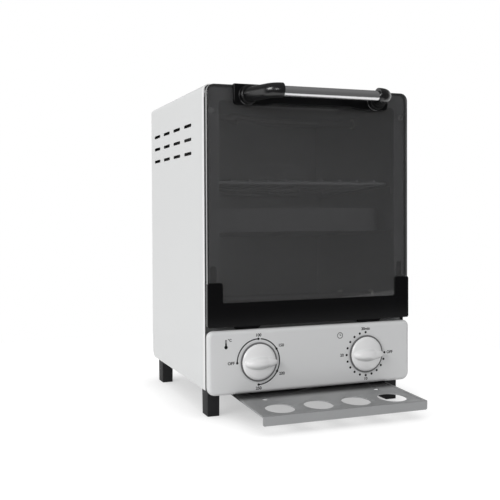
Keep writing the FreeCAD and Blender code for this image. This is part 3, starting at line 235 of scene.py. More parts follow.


# materials

# drift: scale, amount; grain: scale, height in mm; lines: stretch, height in mm; wearAndHighlight: radius,
# amount, colour of lighter edges, rubbed wear and on the front frame a painted highlight; paintedLight:
# where along y (metres) a band of painted shade, on the wrapper a painted highlight, starts and is full,
# colour; inside: half width and height (metres) within which the wrapper's inner side is painted near-black
# as painted shade, colour
finishes = {
    "whiteEnamel": {
        "colour": (0.80, 0.81, 0.81), "rough": 0.30, "swing": 0.06, "coat": 0.35, "coatRough": 0.12,
        "drift": (9, 0.03), "grain": (650, 0.035), "dust": 0.05,
    },
    "whitePlastic": {
        "colour": (0.81, 0.815, 0.82), "rough": 0.34, "swing": 0.05, "coat": 0.15, "coatRough": 0.2,
        "specular": 0.45, "drift": (14, 0.03), "grain": (1500, 0.015), "dust": 0.04,
        # painted shade: the last millimetre of the panel's rear edge is near-black, the shadow in its seam
        "paintedLight": (-0.1016, -0.1009, (0.015, 0.015, 0.015)),
    },
    "knobPlastic": {
        "colour": (0.97, 0.97, 0.975), "rough": 0.24, "swing": 0.05, "coat": 0.6,
        "specular": 0.7, "drift": (30, 0.02), "grain": (1800, 0.01), "dust": 0.02,
    },
    "blackPlastic": {
        "colour": (0.0045, 0.0045, 0.005), "rough": 0.22, "swing": 0.06, "specular": 0.14,
        "drift": (25, 0.3), "grain": (2200, 0.012), "dust": 0.006,
    },
    "footPlastic": {
        "colour": (0.016, 0.016, 0.017), "rough": 0.55, "swing": 0.12, "specular": 0.2,
        "drift": (60, 0.3), "grain": (1300, 0.05), "dust": 0.05,
        "wearAndHighlight": (0.0008, 0.5, (0.06, 0.06, 0.06)),
    },
    "brightTube": {
        "colour": (0.80, 0.80, 0.81), "rough": 0.16, "metal": 1.0,
        "drift": (40, 0.05), "lines": ((60, 1600, 1600), 0.01),
    },
    "greyTray": {
        "colour": (0.39, 0.395, 0.40), "rough": 0.40, "swing": 0.12, "metal": 0.4,
        "drift": (22, 0.12), "grain": (900, 0.02), "dust": 0.04,
        # painted shadow: the tray darkens to near-black towards the panel, under which it reaches
        "wearAndHighlight": (0.0006, 0.5, (0.55, 0.55, 0.56)), "paintedLight": (-0.127, -0.113, (0.004, 0.004, 0.004)),
    },
    "linerSteel": {
        "colour": (0.42, 0.42, 0.415), "rough": 0.38, "swing": 0.2, "metal": 0.9,
        "drift": (18, 0.18), "lines": ((30, 900, 1100), 0.02),
    },
    # its near-white edges are a painted highlight, the light caught by the frame's folded edges and slot
    # rims
    "frameSteel": {
        "colour": (0.44, 0.445, 0.45), "rough": 0.40, "swing": 0.15, "metal": 0.6,
        "drift": (20, 0.12), "lines": ((40, 1500, 900), 0.01), "wearAndHighlight": (0.0012, 1.0, (0.95, 0.95, 0.95)),
    },
    "platedSteel": {
        "colour": (0.60, 0.61, 0.62), "rough": 0.30, "swing": 0.2, "metal": 1.0,
        "drift": (90, 0.2), "grain": (500, 0.02), "wearAndHighlight": (0.0005, 0.4, (0.8, 0.8, 0.8)),
    },
    "brightScrew": {
        "colour": (0.90, 0.90, 0.90), "rough": 0.30, "metal": 0.4,
        "drift": (90, 0.1), "grain": (500, 0.02),
    },
    "platedWire": {
        "colour": (0.86, 0.86, 0.87), "rough": 0.22, "swing": 0.12, "metal": 0.55,
        "drift": (120, 0.12), "grain": (1500, 0.01),
    },
    "panAluminium": {
        "colour": (0.46, 0.46, 0.47), "rough": 0.36, "swing": 0.2, "metal": 0.95,
        "drift": (30, 0.12), "lines": ((35, 1400, 1400), 0.015),
    },
    "heaterSheath": {
        "colour": (0.38, 0.37, 0.36), "rough": 0.45, "swing": 0.2, "metal": 0.85,
        "drift": (45, 0.5), "lines": ((1800, 200, 200), 0.02),
    },
    # a ground glass edge, made lighter as a painted highlight
    "groundEdgeAndHighlight": {
        "colour": (0.42, 0.43, 0.43), "rough": 0.35, "specular": 0.6,
        "drift": (60, 0.2), "grain": (1400, 0.02),
    },
    "bushCeramic": {
        "colour": (0.80, 0.78, 0.72), "rough": 0.7, "specular": 0.3,
        "drift": (80, 0.1), "grain": (1200, 0.05),
    },
    "controlPlastic": {
        "colour": (0.045, 0.045, 0.05), "rough": 0.5, "specular": 0.35,
        "drift": (70, 0.3), "grain": (1500, 0.03), "dust": 0.15,
    },
    "ringPlastic": {
        "colour": (0.16, 0.16, 0.165), "rough": 0.42, "specular": 0.4,
        "drift": (60, 0.2), "grain": (1600, 0.02),
    },
    "bellMetal": {
        "colour": (0.62, 0.60, 0.55), "rough": 0.28, "swing": 0.15, "metal": 1.0,
        "drift": (60, 0.15), "lines": ((900, 60, 900), 0.01),
    },
    "dialInk": {
        "colour": (0.006, 0.006, 0.007), "rough": 0.42, "specular": 0.2,
        "drift": (260, 0.6), "grain": (2500, 0.01),
    },
}
finishes["elbowPlastic"] = {
    **finishes["blackPlastic"], "colour": (0.004, 0.004, 0.0045), "rough": 0.25, "specular": 0.8,
}
# painted light on the wrapper: a painted highlight along its front edges, and near-black painted shade on
# its inside
finishes["shellEnamel"] = {
    **finishes["whiteEnamel"],
    "paintedLight": (-0.0895, -0.0915, (1.0, 1.0, 1.0)), "inside": (0.1122, 0.312, (0.012, 0.012, 0.012)),
}
# what a finish has where its own values don't say
commonFinish = {"swing": 0.1, "metal": 0.0, "specular": 0.5, "coat": 0.0, "coatRough": 0.1}
dustColour = (0.55, 0.53, 0.50)


def buildFinish(name, ownValues):
    values = {**commonFinish, **ownValues}
    material, tree, shader = newMaterial(name)
    place = objectPlace(tree)
    scale, amount = values["drift"]
    colour = useGroup(tree, toneDrift, place, Colour=(*values["colour"], 1), Scale=scale, Amount=amount)[0]
    covers = []
    # lighter edges: rubbed wear, and on the front frame a painted highlight
    if "wearAndHighlight" in values:
        radius, share, edgeColour = values["wearAndHighlight"]
        covers.append((useGroup(tree, edgeWearAndHighlight, place, Radius=radius, Amount=share)[0], edgeColour))
    if "dust" in values:
        covers.append((useGroup(tree, settledDust, place, Amount=values["dust"])[0], dustColour))
    # painted light along y: a painted shadow on the tray, painted shade in the panel's seam, a painted
    # highlight on the wrapper's front edges
    if "paintedLight" in values:
        start, full, tone = values["paintedLight"]
        covers.append((ramp(tree, split(tree, place)["Y"], start, full, kind="SMOOTHSTEP"), tone))
    # painted shade: near-black within the given half width and height, on the wrapper's inner side and vent
    # walls
    if "inside" in values:
        reach, ceiling, tone = values["inside"]
        parts = split(tree, place)
        width = maths(tree, "LESS_THAN", maths(tree, "ABSOLUTE", parts["X"]), reach)
        height = maths(tree, "LESS_THAN", parts["Z"], ceiling)
        covers.append((maths(tree, "MULTIPLY", width, height), tone))
    for mask, tone in covers:
        colour = mixColours(tree, mask, colour, (*tone, 1))
    if "lines" in values:
        stretch, depth = values["lines"]
        group, measure = drawnLines, {"Stretch": stretch}
    else:
        scale, depth = values["grain"]
        group, measure = fineGrain, {"Scale": scale}
    texture = useGroup(tree, group, place, Roughness=values["rough"], Swing=values["swing"], **measure)
    bump = addNode(tree, "ShaderNodeBump", Strength=0.6, Distance=depth * mm, Height=texture["Height"])
    feedAll(tree, shader, {
        "Base Color": colour, "Roughness": texture["Roughness"], "Normal": bump.outputs[0],
        "Metallic": values["metal"], "Specular IOR Level": values["specular"],
        "Coat Weight": values["coat"], "Coat Roughness": values["coatRough"],
    })
    return material


materials = {name: buildFinish(name, values) for name, values in finishes.items()}

glassValues = {
    "tint": (0.26, 0.26, 0.263), "clear": 0.875, "shadowTint": (0.34, 0.34, 0.345),
    "rough": 0.015, "smear": 0.03, "ior": 1.41,
}


def buildGlass(values):
    # dark pane that lets the lamps through, with the faint smears that handling leaves
    material, tree, shader = newMaterial("smokedGlass")
    place = objectPlace(tree)
    tint = useGroup(tree, toneDrift, place, Colour=(*values["tint"], 1), Scale=7.0, Amount=0.06)
    smear = useGroup(tree, fineGrain, place, Scale=300.0, Roughness=values["rough"], Swing=values["smear"])
    feedAll(tree, shader, {"Base Color": tint[0], "Roughness": smear["Roughness"],
                           "Transmission Weight": values["clear"], "IOR": values["ior"]})
    clear = addNode(tree, "ShaderNodeBsdfTransparent", Color=(*values["shadowTint"], 1))
    path = addNode(tree, "ShaderNodeLightPath")
    coverShader(tree, path.outputs["Is Shadow Ray"], shader, clear)
    return material


materials["smokedGlass"] = buildGlass(glassValues)
print("materials built:", len(materials))


# finishes of the CAD parts that stay as they are

keptParts = {
    "shellEnamel": ["outer_wrapper"],
    "whiteEnamel": ["rear_cover"],
    "whitePlastic": ["control_panel"],
    "frameSteel": ["front_frame"],
    "linerSteel": ["chamber_roof", "chamber_floor", "chamber_back", "chamber_wall_left",
                   "chamber_wall_right", "shelf_runners_left", "shelf_runners_right"],
    "platedSteel": ["base_plate", "panel_screws", "thermostat_shaft", "timer_shaft", "spring_lugs",
                    "hinge_bracket_left", "hinge_bracket_right", "hinge_pin_left", "hinge_pin_right",
                    "door_arm_left", "door_arm_right", "tray_runner_left", "tray_runner_right"],
    "platedWire": ["wire_rack"],
    "panAluminium": ["instrument_pan"],
    "heaterSheath": ["upper_heater", "lower_heater_front", "lower_heater_rear"],
    "bushCeramic": ["heater_bushes"],
    "controlPlastic": ["thermostat_body", "timer_body", "terminal_block"],
    "ringPlastic": ["temperature_knob_ring", "timer_knob_ring"],
    "footPlastic": ["door_seal"],
    "bellMetal": ["timer_bell"],
}


def paint(piece, finish):
    piece.data.materials.clear()
    piece.data.materials.append(materials[finish])


for finish, names in keptParts.items():
    for name in names:
        paint(nodes[name], finish)
print("CAD finishes set")


# modelling helpers

def deselectAll():
    if bpy.context.mode != "OBJECT":
        bpy.ops.object.mode_set(mode="OBJECT")
    bpy.ops.object.select_all(action="DESELECT")


def makeActive(piece, *others):
    deselectAll()
    for chosen in (piece, *others):
        chosen.select_set(True)
    bpy.context.view_layer.objects.active = piece


def openWhole(piece):
    # opens edit mode with everything selected
    makeActive(piece)
    bpy.ops.object.mode_set(mode="EDIT")
    bpy.ops.mesh.select_mode(type="VERT")
    bpy.ops.mesh.select_all(action="SELECT")


def closeEdit():
    bpy.ops.object.mode_set(mode="OBJECT")


def pick(piece, kind, test):
    # opens edit mode with the faces (centre, normal) or edges (end, end) that pass the test selected
    openWhole(piece)
    bpy.ops.mesh.select_mode(type=kind)
    bpy.ops.mesh.select_all(action="DESELECT")
    closeEdit()
    points = piece.data.vertices
    if kind == "FACE":
        for face in piece.data.polygons:
            face.select = bool(test(face.center, face.normal))
    else:
        for edge in piece.data.edges:
            edge.select = bool(test(*(points[index].co for index in edge.vertices)))
    bpy.ops.object.mode_set(mode="EDIT")


def push(step=(0, 0, 0)):
    # extrudes what is selected
    bpy.ops.mesh.extrude_region_move(TRANSFORM_OT_translate={"value": step})


def stretch(ratios, centre=(0, 0, 0)):
    bpy.ops.transform.resize(value=ratios, center_override=centre)


def cutThrough(place, normal):
    # adds the edges where a plane meets the piece that is open
    bpy.ops.mesh.select_all(action="SELECT")
    bpy.ops.mesh.bisect(plane_co=place, plane_no=normal)


def faceOutwards(piece):
    openWhole(piece)
    bpy.ops.mesh.normals_make_consistent(inside=False)
    closeEdit()
    return piece


def near(length, place, slack=0.02):
    # whether a length in metres is a place in millimetres
    return abs(length - place * mm) < slack * mm


def runsBack(a, b):
    # whether an edge runs from front to back
    return abs(a.y - b.y) > mm


def looks(normal, way, least=0.9):
    # whether a face looks that way
    return normal.dot(way) > least


def rename(piece, name):
    piece.name = name
    piece.data.name = name
    return piece


def settle(piece):
    makeActive(piece)
    bpy.ops.object.transform_apply(location=True, rotation=True, scale=True)
    return piece


def addBlock(name, low, high):
    deselectAll()
    bpy.ops.mesh.primitive_cube_add(size=1, location=(low + high) / 2)
    piece = rename(bpy.context.object, name)
    piece.scale = high - low
    return settle(piece)


def addCircle(name, radius, sides, fill, place, turn=(pi / 2, 0, 0)):
    deselectAll()
    bpy.ops.mesh.primitive_circle_add(vertices=sides, radius=radius * mm, fill_type=fill, location=place,
                                      rotation=turn)
    return settle(rename(bpy.context.object, name))


def addTurned(name, start, axis, rings, sides=64):
    # a solid of revolution: each ring is a radius and a distance along the axis
    radius, distance = rings[0]
    piece = addCircle(name, radius, sides, "NGON", start + axis * distance * mm,
                      axis.to_track_quat("Z", "Y").to_euler())
    openWhole(piece)
    for (lastRadius, lastDistance), (radius, distance) in zip(rings, rings[1:]):
        push(axis * (distance - lastDistance) * mm)
        stretch((radius / lastRadius,) * 3, start + axis * distance * mm)
    return faceOutwards(piece)


def bevelPicked(width, segments):
    bpy.ops.mesh.bevel(offset=width * mm, segments=segments, profile=0.5, affect="EDGES", clamp_overlap=True)
    closeEdit()


def applyModifier(piece, kind, **settings):
    makeActive(piece)
    modifier = piece.modifiers.new(kind.lower(), kind)
    for key, setting in settings.items():
        setattr(modifier, key, setting)
    bpy.ops.object.modifier_apply(modifier=modifier.name)
    return piece


def combine(piece, other, operation="DIFFERENCE"):
    applyModifier(piece, "BOOLEAN", operation=operation, object=other, solver="EXACT")
    bpy.data.objects.remove(other)
    return piece


# how far a cutting piece reaches past what it cuts
spare = 2


def drillHole(piece, start, axis, radius, low, high, sides):
    return combine(piece, addTurned("drill", start, axis, [(radius, low), (radius, high)], sides))


def joinPieces(piece, *others):
    makeActive(piece, *others)
    bpy.ops.object.join()
    return piece


def copyPiece(piece, name):
    twin = piece.copy()
    twin.data = piece.data.copy()
    bpy.context.scene.collection.objects.link(twin)
    return rename(twin, name)


def shiftPiece(piece, step):
    piece.location = step
    return settle(piece)


def mirrorPiece(piece, name):
    # a left-hand twin of a right-hand piece
    twin = copyPiece(piece, name)
    twin.scale = (-1, 1, 1)
    return faceOutwards(settle(twin))


def roundRim(piece, axis, place, width, segments=4):
    # rounds the sharp edges that lie in one plane across an axis
    pick(piece, "EDGE", lambda a, b: near(a[axis], place) and near(b[axis], place))
    bevelPicked(width, segments)


def dress(piece, finish, body, slot, *replaced, angle=32):
    makeActive(piece)
    paint(piece, finish)
    bpy.ops.object.shade_smooth_by_angle(angle=radians(angle))
    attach(piece, body)
    if replaced:
        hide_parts(*replaced)
    return piece


# knobs

knobValues = {
    "x": 60.3, "z": 53.0, "backY": -106.2,
    "hubRadius": 9.9, "ring": 0.7, "radius": 18.0, "edgeRound": 0.4,
    "rimRadius": 16.3, "skirt": 2.3, "dome": 2.1,
    "domeSteps": (0.97, 0.9, 0.78, 0.62, 0.44, 0.26, 0.1),
    "swells": (
        {"place": (-1.0, -0.6), "reach": (14.8, 6.9, 6.2)},
        {"place": (5.2, -0.5), "reach": (14.0, 5.6, 5.0)},
    ),
    "swellRoom": ((-30, -20, -20), (30, -1.2, 20)),
    "voxel": 0.4, "softening": 12,
}


def buildKnob(values):
    base = at(*take(values, "x", "backY", "z"))
    hub, ring, radius, soft = take(values, "hubRadius", "ring", "radius", "edgeRound")
    rim, skirt, dome = take(values, "rimRadius", "skirt", "dome")
    ball = (rim ** 2 + dome ** 2) / (2 * dome)
    rings = [(hub, 0), (hub, ring), (radius - soft, ring), (radius, ring + soft / 2), (radius, ring + soft),
             (rim, skirt)]
    for share in values["domeSteps"]:
        reach = rim * share
        rings.append((reach, skirt + sqrt(ball ** 2 - reach ** 2) - (ball - dome)))
    knob = addTurned("timerKnob", base, -back, rings, sides=96)
    # the grip: a rounded ridge with a blunt end, drawn out to a pointer
    for swell in values["swells"]:
        deselectAll()
        x, z = swell["place"]
        bpy.ops.mesh.primitive_uv_sphere_add(segments=64, ring_count=32, radius=1,
                                             location=base + at(x, -skirt, z))
        grip = rename(bpy.context.object, "grip")
        grip.scale = at(*swell["reach"])
        room = addBlock("front", *(base + at(*corner) for corner in values["swellRoom"]))
        knob = combine(knob, combine(settle(grip), room, "INTERSECT"), "UNION")
    applyModifier(knob, "REMESH", mode="VOXEL", voxel_size=values["voxel"] * mm)
    return applyModifier(knob, "SMOOTH", factor=0.5, iterations=values["softening"])


timerKnob = buildKnob(knobValues)
temperatureKnob = shiftPiece(copyPiece(timerKnob, "temperatureKnob"), at(-2 * knobValues["x"], 0, 0))
for knob, control in ((timerKnob, "timer"), (temperatureKnob, "temperature")):
    dress(knob, "knobPlastic", control + "_control", "white_plastic", control + "_knob", angle=60)
print("knobs done")


# dial prints

dialValues = {
    "faceY": -105.3, "ink": 0.08, "z": 53.0,
    "lineWidth": 1.15, "dotRadius": 1.2,
    "digitSize": 4.1, "digitWidth": 0.9, "boldness": 0.1, "labelGap": 3.6,
    "temperature": {
        "x": -60.3, "radius": 22.6, "arc": (270, 540), "gap": (362.5, 366.5),
        "dots": (270, 360, 419, 478, 540),
        "labels": ((0, "100"), (59, "150"), (118, "200"), (180, "250"), (270, "OFF")),
    },
    "timer": {
        "x": 60.3, "radius": 22.3,
        "dots": tuple(90 + 18 * step for step in range(16)),
        "labels": ((0, "30min"), (90, "OFF"), (180, "10"), (270, "20")),
    },
}


def onDial(x, z, radius, angle):
    # a place on the panel's face, with the angle clockwise from twelve o'clock
    turn = radians(angle)
    return at(x + radius * sin(turn), dialValues["faceY"], z + radius * cos(turn))


def addInkText(words, size, centre):
    deselectAll()
    bpy.ops.object.text_add()
    text = bpy.context.object
    text.data.body = words
    text.data.size = size * mm
    text.data.align_x = "CENTER"
    text.data.align_y = "CENTER"
    text.data.extrude = dialValues["ink"] * mm
    text.data.offset = dialValues["boldness"] * mm
    bpy.ops.object.convert(target="MESH")
    text = bpy.context.object
    text.rotation_euler = (pi / 2, 0, 0)
    text.location = centre
    return settle(text)


def thickenInk(piece):
    openWhole(piece)
    push(-back * dialValues["ink"] * mm)
    return faceOutwards(piece)


def addInkRing(name, centre, radius, width, keep=None, sides=240):
    # a flat printed ring, or the part of it that keep (an angle in degrees) allows
    inner, outer = radius - width / 2, radius + width / 2
    ring = addCircle(name, inner, sides, "NOTHING", centre)
    openWhole(ring)
    push()
    stretch((outer / inner, 1, outer / inner), centre)
    closeEdit()
    if keep:
        pick(ring, "FACE", lambda middle, normal: not keep(
            degrees(atan2(middle.x - centre.x, middle.z - centre.z)) % 360))
        bpy.ops.mesh.delete(type="FACE")
        closeEdit()
    return thickenInk(ring)


def addInkDot(centre, radius):
    return thickenInk(addCircle("dot", radius, sides=20, fill="NGON", place=centre))


def buildDial(name, values):
    x, z, radius = values["x"], dialValues["z"], values["radius"]
    marks = []
    if "arc" in values:
        start, end = values["arc"]
        low, high = values["gap"]
        centre = at(x, dialValues["faceY"], z)
        marks.append(addInkRing("arc", centre, radius, dialValues["lineWidth"], keep=lambda angle: any(
            start <= turned <= end and not low < turned < high for turned in (angle, angle + 360))))
    for angle in values["dots"]:
        marks.append(addInkDot(onDial(x, z, radius, angle), dialValues["dotRadius"]))
    for angle, words in values["labels"]:
        wide = abs(sin(radians(angle))) * len(words) * dialValues["digitWidth"]
        place = onDial(x, z, radius + dialValues["labelGap"] + wide, angle)
        marks.append(addInkText(words, dialValues["digitSize"], place))
    return rename(joinPieces(marks[0], *marks[1:]), name)


iconValues = {
    "bulb": (-94.5, 69.1), "bulbRadius": 1.75,
    "stemStart": 0.6, "stemHeight": 6.6, "stemWidth": 1.7, "stemLine": 0.55, "filled": 0.6,
    "degree": (-90.6, 75.6), "degreeSize": 3.6,
    "clock": (30.4, 73.6), "clockRadius": 2.9, "minuteHand": 1.9, "hourHand": 1.4,
}


def buildIcons(values):
    faceY, ink = take(dialValues, "faceY", "ink")
    line, start = take(values, "stemLine", "stemStart")
    x, z = values["bulb"]
    half, top = values["stemWidth"] / 2, z + values["stemHeight"]
    marks = [addInkDot(at(x, faceY, z), values["bulbRadius"])]

    def bar(lowX, lowZ, highX, highZ):
        marks.append(addBlock("bar", at(lowX, faceY - ink, lowZ), at(highX, faceY, highZ)))

    bar(x - half, z + start, x - half + line, top)
    bar(x + half - line, z + start, x + half, top)
    bar(x - half, top, x + half, top + line)
    bar(x - line / 2, z, x + line / 2, z + values["filled"] * values["stemHeight"])
    x, z = values["degree"]
    marks.append(addInkText("°C", values["degreeSize"], at(x, faceY, z)))
    x, z = values["clock"]
    marks.append(addInkRing("ring", at(x, faceY, z), values["clockRadius"], line, sides=40))
    bar(x - line / 2, z, x + line / 2, z + values["minuteHand"])
    bar(x, z - line / 2, x + values["hourHand"], z + line / 2)
    return rename(joinPieces(marks[0], *marks[1:]), "panelIcons")


for marking in (buildDial("temperatureDial", dialValues["temperature"]),
                buildDial("timerDial", dialValues["timer"]), buildIcons(iconValues)):
    dress(marking, "dialInk", "cabinet", "control_plastic")
print("dial prints done")


# door pane

paneValues = {
    "halfWidth": 112.3, "bottom": 97.0, "top": 324.0, "frontY": -103.4, "backY": -99.4,
    "corner": 8.0, "arris": 0.6, "mostLean": 0.1,
    "holeX": 71.1, "holeZ": 313.8, "holeRadius": 2.0,
}


def buildPane(values):
    half, low, high, front, rear = take(values, "halfWidth", "bottom", "top", "frontY", "backY")
    pane = addBlock("doorPane", at(-half, front, low), at(half, rear, high))
    pick(pane, "EDGE", lambda a, b: runsBack(a, b) and near(a.z, high))
    bevelPicked(values["corner"], segments=10)
    for y in (front, rear):
        roundRim(pane, 1, y, values["arris"], segments=3)
    for side in (left, right):
        start = at(side * values["holeX"], front, values["holeZ"])
        drillHole(pane, start, back, values["holeRadius"], -spare, rear - front + spare, sides=32)
    return pane


doorPane = dress(buildPane(paneValues), "smokedGlass", "door", "smoked_glass", "door_glass", angle=40)
# the pane's outer side faces are ground; their lighter grey is also a painted highlight, the light that the
# glass carries to its edges
doorPane.data.materials.append(materials["groundEdgeAndHighlight"])
half, high, corner, lean = take(paneValues, "halfWidth", "top", "corner", "mostLean")
for face in doorPane.data.polygons:
    outer = max(abs(face.center.x) - half * mm, face.center.z - high * mm)
    face.material_index = int(outer > -corner * mm and abs(face.normal.y) < lean)
print("door pane done")


# lower bracket of the door

bracketValues = {
    "halfWidth": 112.7, "bottom": 88.5, "bandTop": 111.7, "armTop": 131.6, "armWidth": 15.6,
    "frontY": -104.4, "backY": -98.7, "corner": 2.0, "frontRound": 1.1, "backRound": 0.3,
    "tabs": ((-83.8, -53.2), (53.2, 83.8)), "tabBottom": 85.9, "tabFrontY": -103.0, "tabBackY": -99.6,
    "tabSlope": 6.5, "tabRound": 1.0,
    "earX": 90.0, "earHalf": 2.3, "earReach": 2.2, "hingeY": -101.3, "hingeZ": 92.5,
}


def buildBracket(values):
    half, low, band, arm = take(values, "halfWidth", "bottom", "bandTop", "armTop")
    front, rear, corner = take(values, "frontY", "backY", "corner")
    inner = half - values["armWidth"]
    bracket = addBlock("doorLowerBracket", at(-half, front, low), at(half, rear, band))
    openWhole(bracket)
    for x in (-inner, inner):
        cutThrough(at(x, 0, 0), across)
    pick(bracket, "FACE", lambda middle, normal: looks(normal, up) and abs(middle.x) > inner * mm)
    push(at(0, 0, arm - band))
    pick(bracket, "EDGE", lambda a, b: runsBack(a, b) and not (
        near(abs(a.x), inner) and near(a.z, low)))
    bevelPicked(corner, segments=5)
    pick(bracket, "EDGE", lambda a, b: near(a.x - b.x, 0) and near(abs(a.x), inner)
         and max(a.z, b.z) < (band + corner) * mm)
    bpy.ops.mesh.dissolve_edges()
    closeEdit()
    roundRim(bracket, 1, front, values["frontRound"])
    roundRim(bracket, 1, rear, values["backRound"], segments=2)
    for start, end in values["tabs"]:
        tab = addBlock("tab", at(start, values["tabFrontY"], values["tabBottom"]),
                       at(end, values["tabBackY"], low + spare))
        pick(tab, "EDGE", lambda a, b: runsBack(a, b) and near(a.x, end) and a.z < low * mm)
        bpy.ops.transform.translate(value=at(-values["tabSlope"], 0, 0))
        pick(tab, "EDGE", lambda a, b: runsBack(a, b) and a.z < low * mm)
        bevelPicked(values["tabRound"], segments=4)
        combine(bracket, tab, "UNION")
    half, low, front, rear = take(paneValues, "halfWidth", "bottom", "frontY", "backY")
    combine(bracket, addBlock("pocket", at(-half, front, low), at(half, rear, arm + spare)))
    reach, earHalf, low, rear = take(values, "earReach", "earHalf", "bottom", "backY")
    for side in (left, right):
        x = side * values["earX"]
        combine(bracket, addBlock("notch", at(x - earHalf, values["hingeY"] - reach, low - spare),
                                  at(x + earHalf, rear + spare, values["hingeZ"] + reach)))
    return bracket


dress(buildBracket(bracketValues), "blackPlastic", "door", "black_plastic", "door_lower_bracket", angle=35)
print("door bracket done")


# door handle

handleValues = {
    "halfWidth": 85.7, "plateTop": 324.7, "plateBottom": 304.5, "plateFrontY": -107.2, "plateBackY": -103.4,
    "corner": 4.0, "topCorner": 1.0, "frontRound": 1.2,
    "waistRise": 2.2, "waistStart": 30.0, "waistRun": 16.0, "waistCuts": 8,
    "postX": 71.1, "z": 313.8,
    "bossRings": ((9.9, -0.2), (9.2, 0.7), (9.2, 5.3), (8.9, 5.9), (8.2, 6.3), (7.6, 6.3)),
    "elbowRadius": 7.1, "elbowStartY": -110.2, "elbowTurnY": -113.2, "elbowRound": 0.8,
    "bend": 12.0, "bendStep": 5, "leastSteps": 6, "lean": 8.6,
    "tubeY": -142.8, "tubeZ": 313.0, "tubeEndX": 51.3, "tubeRadius": 5.1, "tubeWall": 1.0,
    "tubeInsert": 2.5, "tubeRound": 0.3,
}


def buildHandlePlate(values):
    half, low, high, front, rear = take(values, "halfWidth", "plateBottom", "plateTop", "plateFrontY",
                                        "plateBackY")
    plate = addBlock("handlePlate", at(-half, front, low), at(half, rear, high))
    openWhole(plate)
    count = values["waistCuts"]
    levels = {}
    for step in range(count + 1):
        share = step / count
        for side in (left, right):
            x = side * (half - values["waistStart"] - share * values["waistRun"])
            levels[round(x, 3)] = values["waistRise"] * share * share * (3 - 2 * share)
            cutThrough(at(x, 0, 0), across)
    for x, rise in levels.items():
        if rise > 0:
            pick(plate, "EDGE", lambda a, b: runsBack(a, b) and near(a.x, x) and near(a.z, low))
            bpy.ops.transform.translate(value=at(0, 0, rise))
    closeEdit()
    for place, radius in ((low, values["corner"]), (high, values["topCorner"])):
        pick(plate, "EDGE", lambda a, b: runsBack(a, b) and near(abs(a.x), half) and near(a.z, place))
        bevelPicked(radius, segments=8)
    roundRim(plate, 1, front, values["frontRound"], segments=5)
    return plate


def buildHandlePost(values):
    # an open tube swept along the elbow's line, closed at its ends and set on a stepped boss
    x, z, bend, startY, turnY = take(values, "postX", "z", "bend", "elbowStartY", "elbowTurnY")
    endX, endY = take(values, "tubeEndX", "tubeY")
    lean = Vector((endX + values["lean"] - x, endY - turnY, 0))
    leanTurn = atan2(-lean.x, -lean.y)
    boss = addTurned("boss", at(x, values["plateFrontY"], z), -back, values["bossRings"], sides=72)
    elbow = addCircle("handlePostRight", values["elbowRadius"], 48, "NOTHING", at(x, startY, z))
    openWhole(elbow)
    here, firstCorner = Vector((x, startY, 0)), Vector((x, turnY, 0))
    heading = -back
    for corner, turn in ((firstCorner, leanTurn), (firstCorner + lean, pi / 2 - leanTurn)):
        run = bend * abs(sin(turn / 2) / cos(turn / 2))
        startBend = corner - heading * run
        push((startBend - here) * mm)
        centre = startBend + Vector((heading.y, -heading.x, 0)) * bend
        steps = max(values["leastSteps"], round(degrees(turn) / values["bendStep"]))
        bpy.ops.mesh.spin(steps=steps, angle=turn, center=at(centre.x, centre.y, z), axis=up)
        heading = Matrix.Rotation(-turn, 3, "Z") @ heading
        here = corner + heading * run
    push((Vector((endX, endY, 0)) - here) * mm)
    bpy.ops.mesh.edge_face_add()
    closeEdit()
    pick(elbow, "EDGE", lambda a, b: near(a.y, startY) and near(b.y, startY))
    bpy.ops.mesh.edge_face_add()
    bpy.ops.mesh.select_all(action="SELECT")
    bpy.ops.mesh.remove_doubles(threshold=0.01 * mm)
    roundRim(faceOutwards(elbow), 0, endX, values["elbowRound"])
    return combine(elbow, boss, "UNION")


def buildHandleTube(values):
    reach = values["tubeEndX"] + values["tubeInsert"]
    outer, soft = take(values, "tubeRadius", "tubeRound")
    inner = outer - values["tubeWall"]
    centre = at(0, values["tubeY"], values["tubeZ"])
    tube = addTurned("handleTube", centre, across, [(outer - soft, -reach), (outer, soft - reach),
                                                    (outer, reach - soft), (outer - soft, reach)], sides=96)
    bore = addTurned("tubeBore", centre, across, [(inner, -reach - spare), (inner, reach + spare)])
    return combine(tube, bore)


dress(buildHandlePlate(handleValues), "blackPlastic", "door", "black_plastic", "handle_plate")
handlePostRight = buildHandlePost(handleValues)
for post, side in ((handlePostRight, "right"), (mirrorPiece(handlePostRight, "handlePostLeft"), "left")):
    dress(post, "elbowPlastic", "door", "black_plastic", "handle_post_" + side)
dress(buildHandleTube(handleValues), "brightTube", "door", "bright_tube", "handle_tube")
print("handle done")


# feet

footValues = {
    "leftX": -103.6, "rightX": 98.0, "frontY": -86.35, "rearY": 70.55,
    "width": 12.6, "depth": 16.5, "height": 26.4, "taper": 0.4,
    "sideRound": 0.7, "soleRound": 0.5, "boreRadius": 3.4, "boreDepth": 12.0,
}


def buildFoot(values):
    # one foot at the origin, hollowed from below for its screw
    width, depth, height, taper = take(values, "width", "depth", "height", "taper")
    foot = addBlock("foot", at(-width / 2, -depth / 2, 0), at(width / 2, depth / 2, height))
    pick(foot, "FACE", lambda middle, normal: looks(normal, -up))
    stretch((1 - taper / width, 1 - taper / depth, 1))
    pick(foot, "EDGE", lambda a, b: abs(a.z - b.z) > mm)
    bevelPicked(values["sideRound"], segments=5)
    roundRim(foot, 2, 0, values["soleRound"], segments=3)
    return drillHole(foot, at(0, 0, 0), up, values["boreRadius"], -spare, values["boreDepth"], sides=36)


